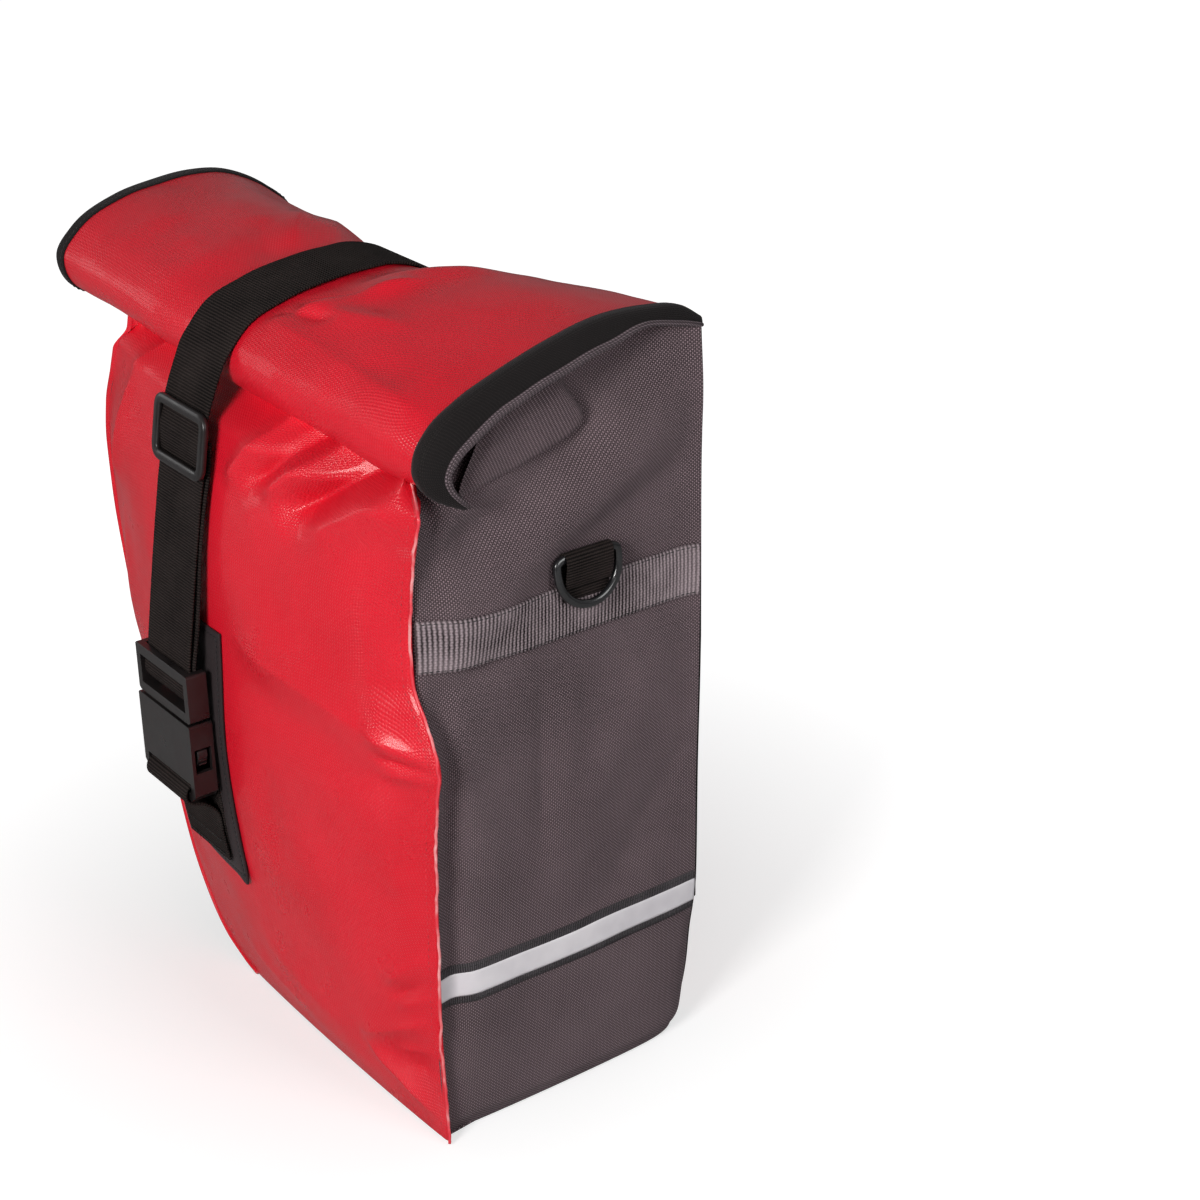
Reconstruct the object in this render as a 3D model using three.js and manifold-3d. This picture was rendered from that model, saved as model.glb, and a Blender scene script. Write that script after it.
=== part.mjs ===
// Roll-top pannier bag, heel side to -X, rack side to +Y, millimetres, +Z up.
// The front faces -Y; "right" is +X and "left" is -X.
// Origin: on the underside of the base, midway between the front and back seams.
import * as THREE from 'three';
import { mergeVertices } from 'three/addons/utils/BufferGeometryUtils.js';
import Module from 'manifold-3d';

const wasm = await Module();
wasm.setup();
const { lerp, clamp } = THREE.MathUtils;

// ---------------------------------------------------------------- driving dimensions
const X_RIGHT = 182;            // outer face of the straight side gusset
const HALF_DEPTH = 88;          // front seam at y = -88, back seam at y = +88
const SKIN = 2.4;               // coated fabric plus seam allowance
const GAP = 0.4;                // clearance between neighbouring pieces
const CURVED_GAP = GAP + 0.5;   // clearance of pieces laid over a curved face
const SEAM_FOOT_Z = 0.3;        // lowest point of the seams
const WEB = 1.7;                // webbing thickness
const BAND_Z = [285.5, 315.5];  // 30 mm webbing round the sides and back
const BAND_Y = [-84, 85];       // extent of bands and tape on the sides
const STRIP_Z = [86.5, 105.5];  // 19 mm reflective tape
const TAPE = 0.8;               // reflective tape thickness
const STRAP_X = -11;            // centre line of the closure strap
const STRAP_W = 48;             // closure webbing width
const BACK_BAND_RIGHT = 177.2;  // right end of the webbing sewn across the back
const PIN_CLEARANCE = 0.45;     // between a ring's wire and the webbing turned round it

const INNER_Y = [-HALF_DEPTH + SKIN + GAP, HALF_DEPTH - SKIN - GAP];
const BACK_FACE = HALF_DEPTH + GAP;               // where pieces on the back panel start
const OVER_BAND = BACK_FACE + WEB + GAP;          // where pieces on the back band start

// edge of the bag on the heel side, top to bottom, as (x, z): at the front seam, the back seam
const HEEL_FRONT = [
  [-171, 392], [-160, 345], [-146, 290], [-139, 247], [-133, 177], [-118, 128],
  [-105, 86], [-96, 58], [-81, 32], [-60, 13], [-38, 3.4], [-25, 0.3],
];
const HEEL_BACK = [
  [-172, 428], [-172, 345], [-171.5, 290], [-170.5, 247], [-167, 177], [-162, 128],
  [-156, 86], [-148.5, 57], [-137, 32], [-120, 12.5], [-100, 3.4], [-86, 0.3],
];
// bulge of the front panel as (z, fraction of BULGE)
const BULGE = 33;
const BULGE_BY_Z = [
  [0, 0.06], [25, 0.34], [50, 0.52], [100, 0.78], [150, 0.93],
  [200, 1], [250, 0.94], [300, 0.82], [345, 0.62], [392, 0.28],
];
// top edge of the side gussets as (y, z)
const GUSSET_TOP = [[-88, 384], [-68, 383.5], [-26, 399], [18, 410], [57, 427], [88, 427]];

// ---------------------------------------------------------------- flat geometry
const around = (centre, half) => [centre - half, centre + half];
const grow = ([low, high], amount) => [low - amount, high + amount];
const middle = ([low, high]) => (low + high) / 2;
const vectors = (points) => points.map(([a, b]) => new THREE.Vector2(a, b));
const direction = (from, to) => new THREE.Vector2(to[0] - from[0], to[1] - from[1]).normalize();

// piecewise linear value from (key, value) stations sorted by key, held beyond the ends
function interpolate(stations, key) {
  const next = stations.findIndex(([stationKey]) => key <= stationKey);
  if (next === 0) return stations[0][1];
  if (next < 0) return stations.at(-1)[1];
  const [[key0, value0], [key1, value1]] = stations.slice(next - 1, next + 1);
  return lerp(value0, value1, (key - key0) / (key1 - key0));
}

// point at a fraction of a polyline's own index
function along(points, fraction) {
  const place = clamp(fraction, 0, 1) * (points.length - 1);
  const i = Math.min(Math.floor(place), points.length - 2);
  return [0, 1].map((axis) => lerp(points[i][axis], points[i + 1][axis], place - i));
}

// points on an arc, angles in degrees, both ends included
function arc(a, b, radius, from, to, steps) {
  return Array.from({ length: steps + 1 }, (_, i) => {
    const angle = (from + (to - from) * i / steps) * Math.PI / 180;
    return [a + radius * Math.cos(angle), b + radius * Math.sin(angle)];
  });
}

function roundRect([a0, a1], [b0, b1], r) {
  const corners = [[a1 - r, b1 - r], [a0 + r, b1 - r], [a0 + r, b0 + r], [a1 - r, b0 + r]];
  return corners.flatMap(([a, b], i) => arc(a, b, r, 90 * i, 90 * (i + 1), 3));
}

// closed outline moved inwards by a constant distance; negative moves it outwards
function offsetInward(outline, distance) {
  const n = outline.length;
  let area = 0;
  outline.forEach((p, i) => {
    const q = outline[(i + 1) % n];
    area += p[0] * q[1] - q[0] * p[1];
  });
  const inwardNormal = (edge) => new THREE.Vector2(-edge.y, edge.x).multiplyScalar(Math.sign(area));
  return outline.map((p, i) => {
    const before = inwardNormal(direction(outline[(i + n - 1) % n], p));
    const after = inwardNormal(direction(p, outline[(i + 1) % n]));
    const mitre = before.clone().add(after).normalize();
    const reach = distance / Math.max(0.5, mitre.dot(before));
    return [p[0] + mitre.x * reach, p[1] + mitre.y * reach];
  });
}

// a D: straight bar at b = 0 from -halfWidth to halfWidth, bow reaching b = -height
function dOutline(halfWidth, height) {
  const points = [];
  for (let i = 0; i <= 4; i++) points.push([lerp(-halfWidth, halfWidth, i / 4), 0]);
  for (let i = 1; i < 14; i++) {
    const angle = Math.PI * i / 14, rise = Math.sin(angle);
    points.push([halfWidth * Math.cos(angle) * (1 + 0.10 * rise), -height * rise ** 0.8]);
  }
  return points;
}

// ---------------------------------------------------------------- solid geometry
const pushQuad = (index, a, b, c, d) => index.push(a, b, c, a, c, d);

// indexed geometry, turned right side out if its volume comes out negative
function fromTriangles(positions, index) {
  let volume = 0;
  const [a, b, c] = [0, 1, 2].map(() => new THREE.Vector3());
  for (let i = 0; i < index.length; i += 3) {
    [a, b, c].forEach((corner, k) => corner.fromArray(positions, 3 * index[i + k]));
    volume += a.dot(b.cross(c));
  }
  if (volume < 0) {
    for (let i = 0; i < index.length; i += 3) {
      [index[i + 1], index[i + 2]] = [index[i + 2], index[i + 1]];
    }
  }
  const geometry = new THREE.BufferGeometry();
  geometry.setAttribute('position', new THREE.Float32BufferAttribute(positions, 3));
  geometry.setIndex(index);
  geometry.computeVertexNormals();
  return geometry;
}

// closed slab: outer(u, v) is a point of its outer face, depth(u, v) the offset to the inner face
function sheet(outer, depth, nu, nv) {
  const positions = [], index = [], cols = nv + 1, n = (nu + 1) * cols;
  for (const inner of [0, 1]) {
    for (let i = 0; i <= nu; i++) {
      for (let j = 0; j <= nv; j++) {
        const offset = depth(i / nu, j / nv);
        positions.push(...outer(i / nu, j / nv).map((value, k) => value + inner * offset[k]));
      }
    }
  }
  for (let i = 0; i < nu; i++) {
    for (let j = 0; j < nv; j++) {
      const a = i * cols + j, b = a + cols, c = b + 1, d = a + 1;
      pushQuad(index, a, b, c, d);
      pushQuad(index, n + a, n + d, n + c, n + b);
    }
  }
  const rim = (a, b) => pushQuad(index, b, a, n + a, n + b);
  for (let i = 0; i < nu; i++) {
    rim(i * cols, (i + 1) * cols);
    rim((i + 1) * cols + nv, i * cols + nv);
  }
  for (let j = 0; j < nv; j++) {
    rim(j + 1, j);
    rim(nu * cols + j, nu * cols + j + 1);
  }
  return fromTriangles(positions, index);
}

// how a ribbon's width w and path point (a, b) lie in space, named by the plane of the path
const IN_YZ = (w, a, b) => [w, a, b];
const IN_XY = (w, a, b) => [a, b, w];
const IN_XZ = (w, a, b) => [a, w, b];

// webbing centred on a flat path, its width running square to the path's plane
function ribbon(path, thickness, width, place = IN_YZ) {
  const last = path.length - 1;
  const normals = path.map((p, i) => {
    const before = path[Math.max(0, i - 1)];
    const dir = direction(before, path[Math.min(last, i + 1)]);
    const isEnd = i === 0 || i === last;
    const mitre = isEnd ? 1 : 1 / Math.max(0.6, Math.abs(direction(before, p).dot(dir)));
    return [-dir.y * mitre, dir.x * mitre];
  });
  const at = (u) => Math.round(u * last);
  return sheet(
    (u, v) => {
      const [a, b] = path[at(u)], [na, nb] = normals[at(u)];
      return place(lerp(...width, v), a + na * thickness / 2, b + nb * thickness / 2);
    },
    (u) => place(0, ...normals[at(u)].map((value) => -value * thickness)), last, 1);
}

// closed tube along a closed loop of points in one plane
function loopTube(points, planeNormal, radius) {
  const sides = 8, positions = [], index = [], n = points.length;
  const normal = new THREE.Vector3(...planeNormal).normalize();
  for (let i = 0; i < n; i++) {
    const before = new THREE.Vector3(...points[(i + n - 1) % n]);
    const tangent = new THREE.Vector3(...points[(i + 1) % n]).sub(before).normalize();
    const side = new THREE.Vector3().crossVectors(tangent, normal);
    const next = ((i + 1) % n) * sides;
    for (let k = 0; k < sides; k++) {
      const angle = 2 * Math.PI * (k + 0.5) / sides, after = (k + 1) % sides;
      positions.push(...new THREE.Vector3(...points[i])
        .addScaledVector(normal, radius * Math.cos(angle))
        .addScaledVector(side, radius * Math.sin(angle)));
      pushQuad(index, i * sides + k, i * sides + after, next + after, next + k);
    }
  }
  return fromTriangles(positions, index);
}

// tube along x whose wall lies between two (y, z) outlines with matching points
function sleeveX(outer, inner, ends) {
  const n = outer.length, positions = [], index = [];
  for (const x of ends) {
    for (const loop of [outer, inner]) for (const [y, z] of loop) positions.push(x, y, z);
  }
  for (let i = 0; i < n; i++) {
    const j = (i + 1) % n;
    const [outer0, inner0, outer1, inner1] = [0, 1, 2, 3].map((k) => [k * n + i, k * n + j]);
    pushQuad(index, ...outer0, outer1[1], outer1[0]);
    pushQuad(index, inner0[0], ...inner1, inner0[1]);
    pushQuad(index, outer0[0], ...inner0, outer0[1]);
    pushQuad(index, ...outer1, inner1[1], inner1[0]);
  }
  return fromTriangles(positions, index);
}

function box(xs, ys, zs) {
  const geometry = new THREE.BoxGeometry(xs[1] - xs[0], ys[1] - ys[0], zs[1] - zs[0]);
  return geometry.translate(middle(xs), middle(ys), middle(zs));
}

// flat outlines given thickness: (x, y) upwards from z = 0, (y, z) along x, (x, z) along y
const plateXY = (outline, depth) =>
  new THREE.ExtrudeGeometry(new THREE.Shape(vectors(outline)),
    { depth, bevelEnabled: false, steps: 1 });
const plateYZ = (outline, [x0, x1]) =>
  plateXY(outline, x1 - x0).applyMatrix4(
    new THREE.Matrix4().set(0, 0, 1, x0, 1, 0, 0, 0, 0, 1, 0, 0, 0, 0, 0, 1));
const plateXZ = (outline, [y0, y1]) =>
  plateXY(outline, y1 - y0).applyMatrix4(
    new THREE.Matrix4().set(1, 0, 0, 0, 0, 0, -1, y1, 0, 1, 0, 0, 0, 0, 0, 1));

// low domed head on an axis along y, its flat face at y
function dome({ x, y, z, radius, height }) {
  const profile = [
    [0, 0], [radius, 0], [radius, height * 0.35], [radius * 0.72, height * 0.85], [0, height],
  ];
  return new THREE.LatheGeometry(vectors(profile), 12).translate(x, y, z);
}

// geometry to manifold and back
function solid(geometry) {
  geometry.deleteAttribute('normal');
  geometry.deleteAttribute('uv');
  const merged = mergeVertices(geometry, 1e-4);
  return new wasm.Manifold(new wasm.Mesh({
    numProp: 3,
    vertProperties: new Float32Array(merged.attributes.position.array),
    triVerts: new Uint32Array(merged.index.array),
  }));
}
function geometryOf(manifold) {
  const { vertProperties, triVerts } = manifold.getMesh();
  return fromTriangles(Array.from(vertProperties), Array.from(triVerts));
}
// cuts are [x range, y range, z range] boxes
const cutBoxes = (geometry, cuts) =>
  cuts.reduce((body, cut) => body.subtract(solid(box(...cut))), solid(geometry));

// ---------------------------------------------------------------- materials and group
const MATERIALS = {
  red_tarpaulin: { color: 0xc42a34, roughness: 0.34, metalness: 0 },
  woven_polyester: { color: 0x544c50, roughness: 0.85, metalness: 0 },
  webbing_black: { color: 0x17161a, roughness: 0.8, metalness: 0 },
  reflective_tape: { color: 0xccc6ce, roughness: 0.35, metalness: 0.1 },
  plastic_black: { color: 0x141416, roughness: 0.38, metalness: 0 },
  steel_nickel: { color: 0xb9b9b9, roughness: 0.25, metalness: 0.95 },
  board_grey: { color: 0x8b8b8e, roughness: 0.6, metalness: 0 },
};
const group = new THREE.Group();
group.name = 'pannier_bag';

function add(name, geometry, material) {
  const mesh = new THREE.Mesh(geometry, new THREE.MeshStandardMaterial(MATERIALS[material]));
  mesh.name = name;
  group.add(mesh);
}

// ---------------------------------------------------------------- faces of the bag
const SIDES = [['left', -1], ['right', 1]];
const CORNER_R = 24;        // bottom right corner of the back panel
const GUSSET_TURN_R = 9;    // where the right gusset turns under to meet the base

const frontEdge = [...HEEL_FRONT].reverse();
const backEdge = [...HEEL_BACK].reverse();
const swapped = (points) => points.map(([x, z]) => [z, x]);
const heelFrontByZ = swapped(frontEdge), heelBackByZ = swapped(backEdge);

const depthFraction = (y) => (y + HALF_DEPTH) / (2 * HALF_DEPTH); // 0 at front seam, 1 at back
const heelX = (y, z) =>
  lerp(interpolate(heelFrontByZ, z), interpolate(heelBackByZ, z), depthFraction(y));

// (x, z) on the heel side: down is 0 at the top and 1 at the base
function heelPoint(down, back) {
  const front = along(HEEL_FRONT, down), rear = along(HEEL_BACK, down);
  return [lerp(front[0], rear[0], back), lerp(front[1], rear[1], back)];
}

// outer face of the front panel
function frontY(x, z) {
  const left = interpolate(heelFrontByZ, z);
  const centre = (left + X_RIGHT) / 2, half = (X_RIGHT - left) / 2;
  const side = Math.min(Math.abs(x - centre) / half, 1);
  return -HALF_DEPTH - BULGE * interpolate(BULGE_BY_Z, z) * Math.pow(1 - side * side, 0.85);
}

// ---------------------------------------------------------------- shell
function frontPanel() {
  const rightTop = 387;
  return sheet(
    (u, v) => {
      const [edgeX, edgeZ] = along(frontEdge, v);
      const x = lerp(edgeX, X_RIGHT, u);
      const z = lerp(edgeZ, lerp(SEAM_FOOT_Z, rightTop, Math.pow(v, 1.25)), u);
      return [x, frontY(x, z), z];
    },
    () => [0, SKIN, 0], 16, 22);
}

// flat, with the bottom corners rounded
function backPanel() {
  const corner = arc(X_RIGHT - CORNER_R, SEAM_FOOT_Z + CORNER_R, CORNER_R, -90, 0, 4);
  const outline = [[X_RIGHT, 427], ...HEEL_BACK, ...corner];
  return plateXZ(outline, [HALF_DEPTH - SKIN, HALF_DEPTH]);
}

// the lowest three rows make the turn under the bag, the rest the upright face
function rightGusset() {
  const rows = 9, turnRows = 3, turnTop = GUSSET_TURN_R + SEAM_FOOT_Z;
  const turnAngle = (v) => Math.min(v * rows / turnRows, 1) * Math.PI / 2;
  return sheet(
    (u, v) => {
      const y = lerp(...INNER_Y, u), angle = turnAngle(v);
      const up = Math.max(0, (v * rows - turnRows) / (rows - turnRows));
      const z = lerp(turnTop, interpolate(GUSSET_TOP, y), up) - GUSSET_TURN_R * Math.cos(angle);
      return [X_RIGHT - GUSSET_TURN_R * (1 - Math.sin(angle)), y, z];
    },
    (u, v) => [-SKIN * Math.sin(turnAngle(v)), 0, SKIN * Math.cos(turnAngle(v))], 8, rows);
}

function leftGusset() {
  return sheet(
    (u, v) => {
      const y = lerp(...INNER_Y, u);
      const [x, z] = heelPoint(v, depthFraction(y));
      return [x, y, v === 0 ? Math.min(interpolate(GUSSET_TOP, y) + 4, z) : z];
    },
    (u, v) => {
      if (v === 1) return [0.2, 0, SKIN];
      const down = direction(heelPoint(v - 0.05, u), heelPoint(v + 0.05, u));
      return [-down.y * SKIN, 0, down.x * SKIN];
    }, 8, 22);
}

function basePanel() {
  const rightEnd = X_RIGHT - 9.6, leftGap = 1.2;
  return sheet(
    (u, v) => {
      const y = lerp(...INNER_Y, v);
      return [lerp(heelPoint(1, depthFraction(y))[0] + leftGap, rightEnd, u), y, 0];
    },
    () => [0, 0, SKIN], 1, 1);
}

// cord round the sides and bottom of the back panel
function backPiping() {
  const radius = 1.9, inset = 2.2, top = 422;
  const right = X_RIGHT - inset, cornerR = CORNER_R - inset;
  const points = [
    ...[top, 300, 150, 45].map((z) => [right, z]),
    ...arc(right - cornerR, inset + cornerR, cornerR, 0, -90, 3),
    [40, inset], [-60, inset],
  ];
  for (let i = 1; i < backEdge.length; i++) {
    const [x, z] = backEdge[i];
    const dir = direction(backEdge[i - 1], backEdge[Math.min(backEdge.length - 1, i + 1)]);
    points.push([x + dir.y * inset, Math.min(z - dir.x * inset, top)]);
  }
  const extrudePath = new THREE.CatmullRomCurve3(
    points.map(([x, z]) => new THREE.Vector3(x, BACK_FACE + radius, z)), false, 'centripetal');
  const section = new THREE.Shape(vectors(arc(0, 0, radius, 30, 330, 5)));
  return new THREE.ExtrudeGeometry(section, { steps: 52, extrudePath, bevelEnabled: false });
}

// stiffeners inside: an upright sheet in front of the back panel and a loose base sheet
const BACK_BOARD = [[-150, 392], [-150, 90], [-132, 40], [-108, 24], [160, 24], [160, 392]]; // x, z
const BASE_BOARD = [[-18, -76], [160, -76], [160, 74], [-70, 74]];                          // x, y

add('front_panel', frontPanel(), 'red_tarpaulin');
add('back_panel', backPanel(), 'red_tarpaulin');
add('right_gusset', rightGusset(), 'woven_polyester');
add('left_gusset', leftGusset(), 'woven_polyester');
add('base_panel', basePanel(), 'woven_polyester');
add('back_board', plateXZ(BACK_BOARD, [78.5, 81.5]), 'board_grey');
add('base_board', plateXY(BASE_BOARD, 2.5).translate(0, 0, 4.4), 'board_grey');
add('back_piping', backPiping(), 'webbing_black');

// ---------------------------------------------------------------- bands and reflective tape
const onRight = (zs, thickness) =>
  box([X_RIGHT + GAP, X_RIGHT + GAP + thickness], BAND_Y, zs);
const onHeel = (zs, thickness) => sheet(
  (u, v) => {
    const y = lerp(...BAND_Y, u), z = lerp(...zs, v);
    return [heelX(y, z) - CURVED_GAP - thickness, y, z];
  },
  () => [thickness, 0, 0], 6, 3);

add('side_band_right', onRight(BAND_Z, WEB), 'webbing_black');
add('reflective_strip_right', onRight(STRIP_Z, TAPE), 'reflective_tape');
add('side_band_left', onHeel(BAND_Z, WEB), 'webbing_black');
add('reflective_strip_left', onHeel(STRIP_Z, TAPE), 'reflective_tape');
add('back_band', box([-165.5, BACK_BAND_RIGHT], [BACK_FACE, BACK_FACE + WEB], BAND_Z),
  'webbing_black');

// D-ring hanging in a webbing loop above the side band; outward is +1 or -1 along x
function dRing(side, faceX, outward) {
  const wire = 2.0, tab = 1.5, tilt = 0.12, footZ = 317.2;
  const pivotX = faceX + outward * 5.4, pivotY = 12, pivotZ = 331;
  const turnR = wire + PIN_CLEARANCE + tab / 2;
  // up the gusset, round the bar and back down
  const path = [
    [faceX + outward * 1.2, footZ], [pivotX - outward * turnR, pivotZ - 4],
    ...arc(pivotX, pivotZ, turnR, 90 + 90 * outward, 90 - 90 * outward, 6),
    [pivotX + outward * turnR, pivotZ - 4], [faceX + outward * 4.3, footZ],
  ];
  add('d_ring_tab_' + side, ribbon(path, tab, around(pivotY, 15), IN_XZ), 'webbing_black');
  const ring = dOutline(19.5, 27).map(
    ([a, b]) => [pivotX - outward * b * tilt, pivotY + a, pivotZ + b]);
  add('d_ring_' + side, loopTube(ring, [1, 0, outward * tilt], wire), 'plastic_black');
}
dRing('right', X_RIGHT, 1);
dRing('left', heelX(12, 331) - 0.6, -1);

// ---------------------------------------------------------------- the rolled lid
const LID_RIGHT = 184, LID_LEFT = -199; // ends of the roll, bindings included
const LID_RISE = 9;                     // the heel end of the roll stands this much higher
const BINDING_PROUD = 0.9;              // binding outside the lid's outer face
// section of the roll as (y, z): over the top from front to back, then back underneath
const LID_UPPER = [
  [-82, 397], [-86, 404], [-86.5, 413], [-79, 424], [-54, 434],
  [-36, 439], [0, 446], [37, 450], [70, 448], [87, 442],
];
const LID_LOWER = [
  [89, 436], [86, 431], [57, 430.5], [18, 413], [-26, 402], [-68, 386], [-76, 389],
];
const ROLL_STIFFENER = [[-66, 407], [-38, 417], [-38.8, 419.4], [-66.8, 409.4]]; // y, z
const lidOuter = [...LID_UPPER, ...LID_LOWER];

// the whole roll climbs evenly towards the heel end
const lidShift = (x) => LID_RISE * (LID_RIGHT - x) / (LID_RIGHT - LID_LEFT);
function raised(geometry) {
  const p = geometry.attributes.position;
  for (let i = 0; i < p.count; i++) p.setZ(i, p.getZ(i) + lidShift(p.getX(i)));
  geometry.computeVertexNormals();
  return geometry;
}
const lidSleeve = (outset, inset, xs) =>
  raised(sleeveX(offsetInward(lidOuter, -outset), offsetInward(lidOuter, inset), xs));
const tuck = (xs) => raised(plateYZ(offsetInward(lidOuter, 4.2), xs));

add('roll_top', lidSleeve(0, 2.6, [-189, 163]), 'red_tarpaulin');
add('roll_binding_right', lidSleeve(BINDING_PROUD, 2.4, [163.5, LID_RIGHT]), 'webbing_black');
add('roll_binding_left', lidSleeve(BINDING_PROUD, 2.4, [LID_LEFT, -189.5]), 'webbing_black');
add('gusset_tuck_right', tuck([146, 181]), 'woven_polyester');
add('gusset_tuck_left', tuck([-196, -160]), 'woven_polyester');
add('roll_stiffener', raised(plateYZ(ROLL_STIFFENER, [-158, 144])), 'board_grey');

// ---------------------------------------------------------------- closure strap, front
const STRAP_SPAN = around(STRAP_X, STRAP_W / 2);
// straight run down the front, as (y, z)
const RUN_TOP = [-108.0, 391], RUN_BOTTOM = [-133.2, 243];

// over the roll from front to back
function rollStrap() {
  const shift = lidShift(STRAP_SPAN[0]);
  const [first, ...rest] = offsetInward(lidOuter, -(BINDING_PROUD + WEB / 2))
    .slice(0, LID_UPPER.length).map(([y, z]) => [y, z + shift]);
  const path = [[first[0] - 2.6, first[1] + 0.6], ...rest, [91.6, 440.5 + shift * 0.3]];
  return ribbon(path, WEB, STRAP_SPAN);
}

// from under the roll's lip to the buckle
const FRONT_STRAP = [
  [-93.4, 399.2], [-98.5, 397.6], RUN_TOP, RUN_BOTTOM, [-133.4, 236], [-133.4, 217.8],
];

// three-bar slider: outer bars in front of the webbing, middle bar behind it
function strapSlider() {
  const halfHeight = 19, openTop = halfHeight - 4.2, barFoot = halfHeight - 4.3;
  const opening = around(0, STRAP_W / 2 + 0.6), through = around(0, 5);
  const webFace = WEB / 2 + 0.5;
  const plate = plateXZ(roundRect(around(0, 28.5), around(0, halfHeight), 6), around(0, 3.2));
  const body = cutBoxes(plate, [
    [opening, through, [3.0, openTop]],
    [opening, through, [-openTop, -3.0]],
    [opening, [-webFace, 5], [barFoot, halfHeight + 2]],    // behind the top bar
    [opening, [-webFace, 5], [-halfHeight - 2, -barFoot]],  // behind the bottom bar
    [opening, [-5, webFace], around(0, 3.1)],               // in front of the middle bar
  ]);
  const [y, z] = [0, 1].map((axis) => lerp(RUN_TOP[axis], RUN_BOTTOM[axis], 0.17));
  return geometryOf(body)
    .rotateX(-Math.atan2(RUN_TOP[0] - RUN_BOTTOM[0], RUN_TOP[1] - RUN_BOTTOM[1]))
    .translate(STRAP_X, y, z);
}

add('roll_strap', rollStrap(), 'webbing_black');
add('front_strap', ribbon(FRONT_STRAP, WEB, STRAP_SPAN), 'webbing_black');
add('strap_slider', strapSlider(), 'plastic_black');

// ---------------------------------------------------------------- side-release buckle
const FEMALE_Y = [-140.5, -126.2], FEMALE_Z = [159, 208];
const MALE_Y = [-139.5, -127.0], MALE_Z = [FEMALE_Z[1] + 1.2, 239];
const acrossStrap = (half) => around(STRAP_X, half);
const BUCKLE_SLOT_X = acrossStrap(25.2);
// one arm as (distance from the strap's centre line, z)
const BUCKLE_ARM = [
  [12.5, 208.6], [21.8, 208.6], [22.4, 199], [23.4, 192.2], [28.8, 191.2], [29.5, 188],
  [26.8, 180.5], [21, 175.2], [17.4, 177.2], [18.4, 184.5], [17.2, 197], [12.5, 205],
];

// block with its bottom corners cut by chamfer and its top corners by 1
function buckleBlock(ys, [z0, z1], chamfer) {
  const [x0, x1] = acrossStrap(30);
  return plateXZ([
    [x0 + chamfer, z0], [x1 - chamfer, z0], [x1, z0 + chamfer], [x1, z1 - 1],
    [x1 - 1, z1], [x0 + 1, z1], [x0, z1 - 1], [x0, z0 + chamfer],
  ], ys);
}

function buckleFemale() {
  const [z0, z1] = FEMALE_Z;
  return geometryOf(cutBoxes(buckleBlock(FEMALE_Y, FEMALE_Z, 5), [
    [acrossStrap(27), grow(FEMALE_Y, -2), [z0 + 14, z1 + 5]],       // cavity
    [acrossStrap(40), grow(FEMALE_Y, -2.01), [178, 193]],           // release windows
    [BUCKLE_SLOT_X, grow(FEMALE_Y, 5), [z0 + 5.2, z0 + 11.2]],      // webbing slot
  ]));
}

function buckleMale() {
  const [front, back] = MALE_Y;
  const body = cutBoxes(buckleBlock(MALE_Y, MALE_Z, 1.5), [
    [BUCKLE_SLOT_X, [front + 4.2, back + 5], [216, 260]],           // pocket for the webbing
    [BUCKLE_SLOT_X, grow(MALE_Y, 5), [215, 232.5]],                 // window under the top bar
  ]);
  const bar = box(acrossStrap(25.4), [back - 3.2, back - 0.4], [219, 226]); // behind the webbing
  const guide = box(acrossStrap(8), around(middle(MALE_Y), 2.4), [180, MALE_Z[0] + 0.4]);
  return geometryOf(body.add(solid(bar)).add(solid(guide)));
}

// patch following the front panel behind the buckle
function bucklePatch() {
  const thickness = 1.5;
  return sheet(
    (u, v) => {
      const x = lerp(...acrossStrap(36), u), z = lerp(101, 262, v);
      return [x, frontY(x, z) - CURVED_GAP - thickness, z];
    },
    () => [0, thickness, 0], 6, 10);
}

// up the patch, through the slot of the lower buckle half and back down
function buckleLoop() {
  const foremost = (z) => Math.min(...[0, 24, -24].map((x) => frontY(STRAP_X + x, z))) - 4.1;
  const front = FEMALE_Y[0], foot = FEMALE_Z[0];
  const path = [
    [foremost(112) + 0.4, 112], [foremost(128), 128], [foremost(142), 142],
    [foremost(152), 152], [foremost(161) - 0.1, foot + 4], [foremost(163) - 0.4, foot + 7.4],
    [front + 6, foot + 8.3], [front - 0.2, foot + 8.0], [front - 1.9, foot + 5.6],
    [front - 1.9, foot - 0.2], [front + 0.6, foot - 2.2], [foremost(152) - 4.6, foot - 3.2],
    [foremost(142) - 3.6, 143], [foremost(128) - 3, 128], [foremost(112) - 2.3, 112],
  ];
  return ribbon(path, WEB, grow(STRAP_SPAN, -0.4));
}

add('buckle_female', buckleFemale(), 'plastic_black');
add('buckle_male', buckleMale(), 'plastic_black');
for (const [side, sign] of SIDES) {
  const outline = BUCKLE_ARM.map(([a, z]) => [STRAP_X + sign * a, z]);
  add('buckle_arm_' + side, plateXZ(outline, around(middle(MALE_Y), 3.4)), 'plastic_black');
}
add('buckle_patch', bucklePatch(), 'webbing_black');
add('buckle_loop', buckleLoop(), 'webbing_black');

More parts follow.
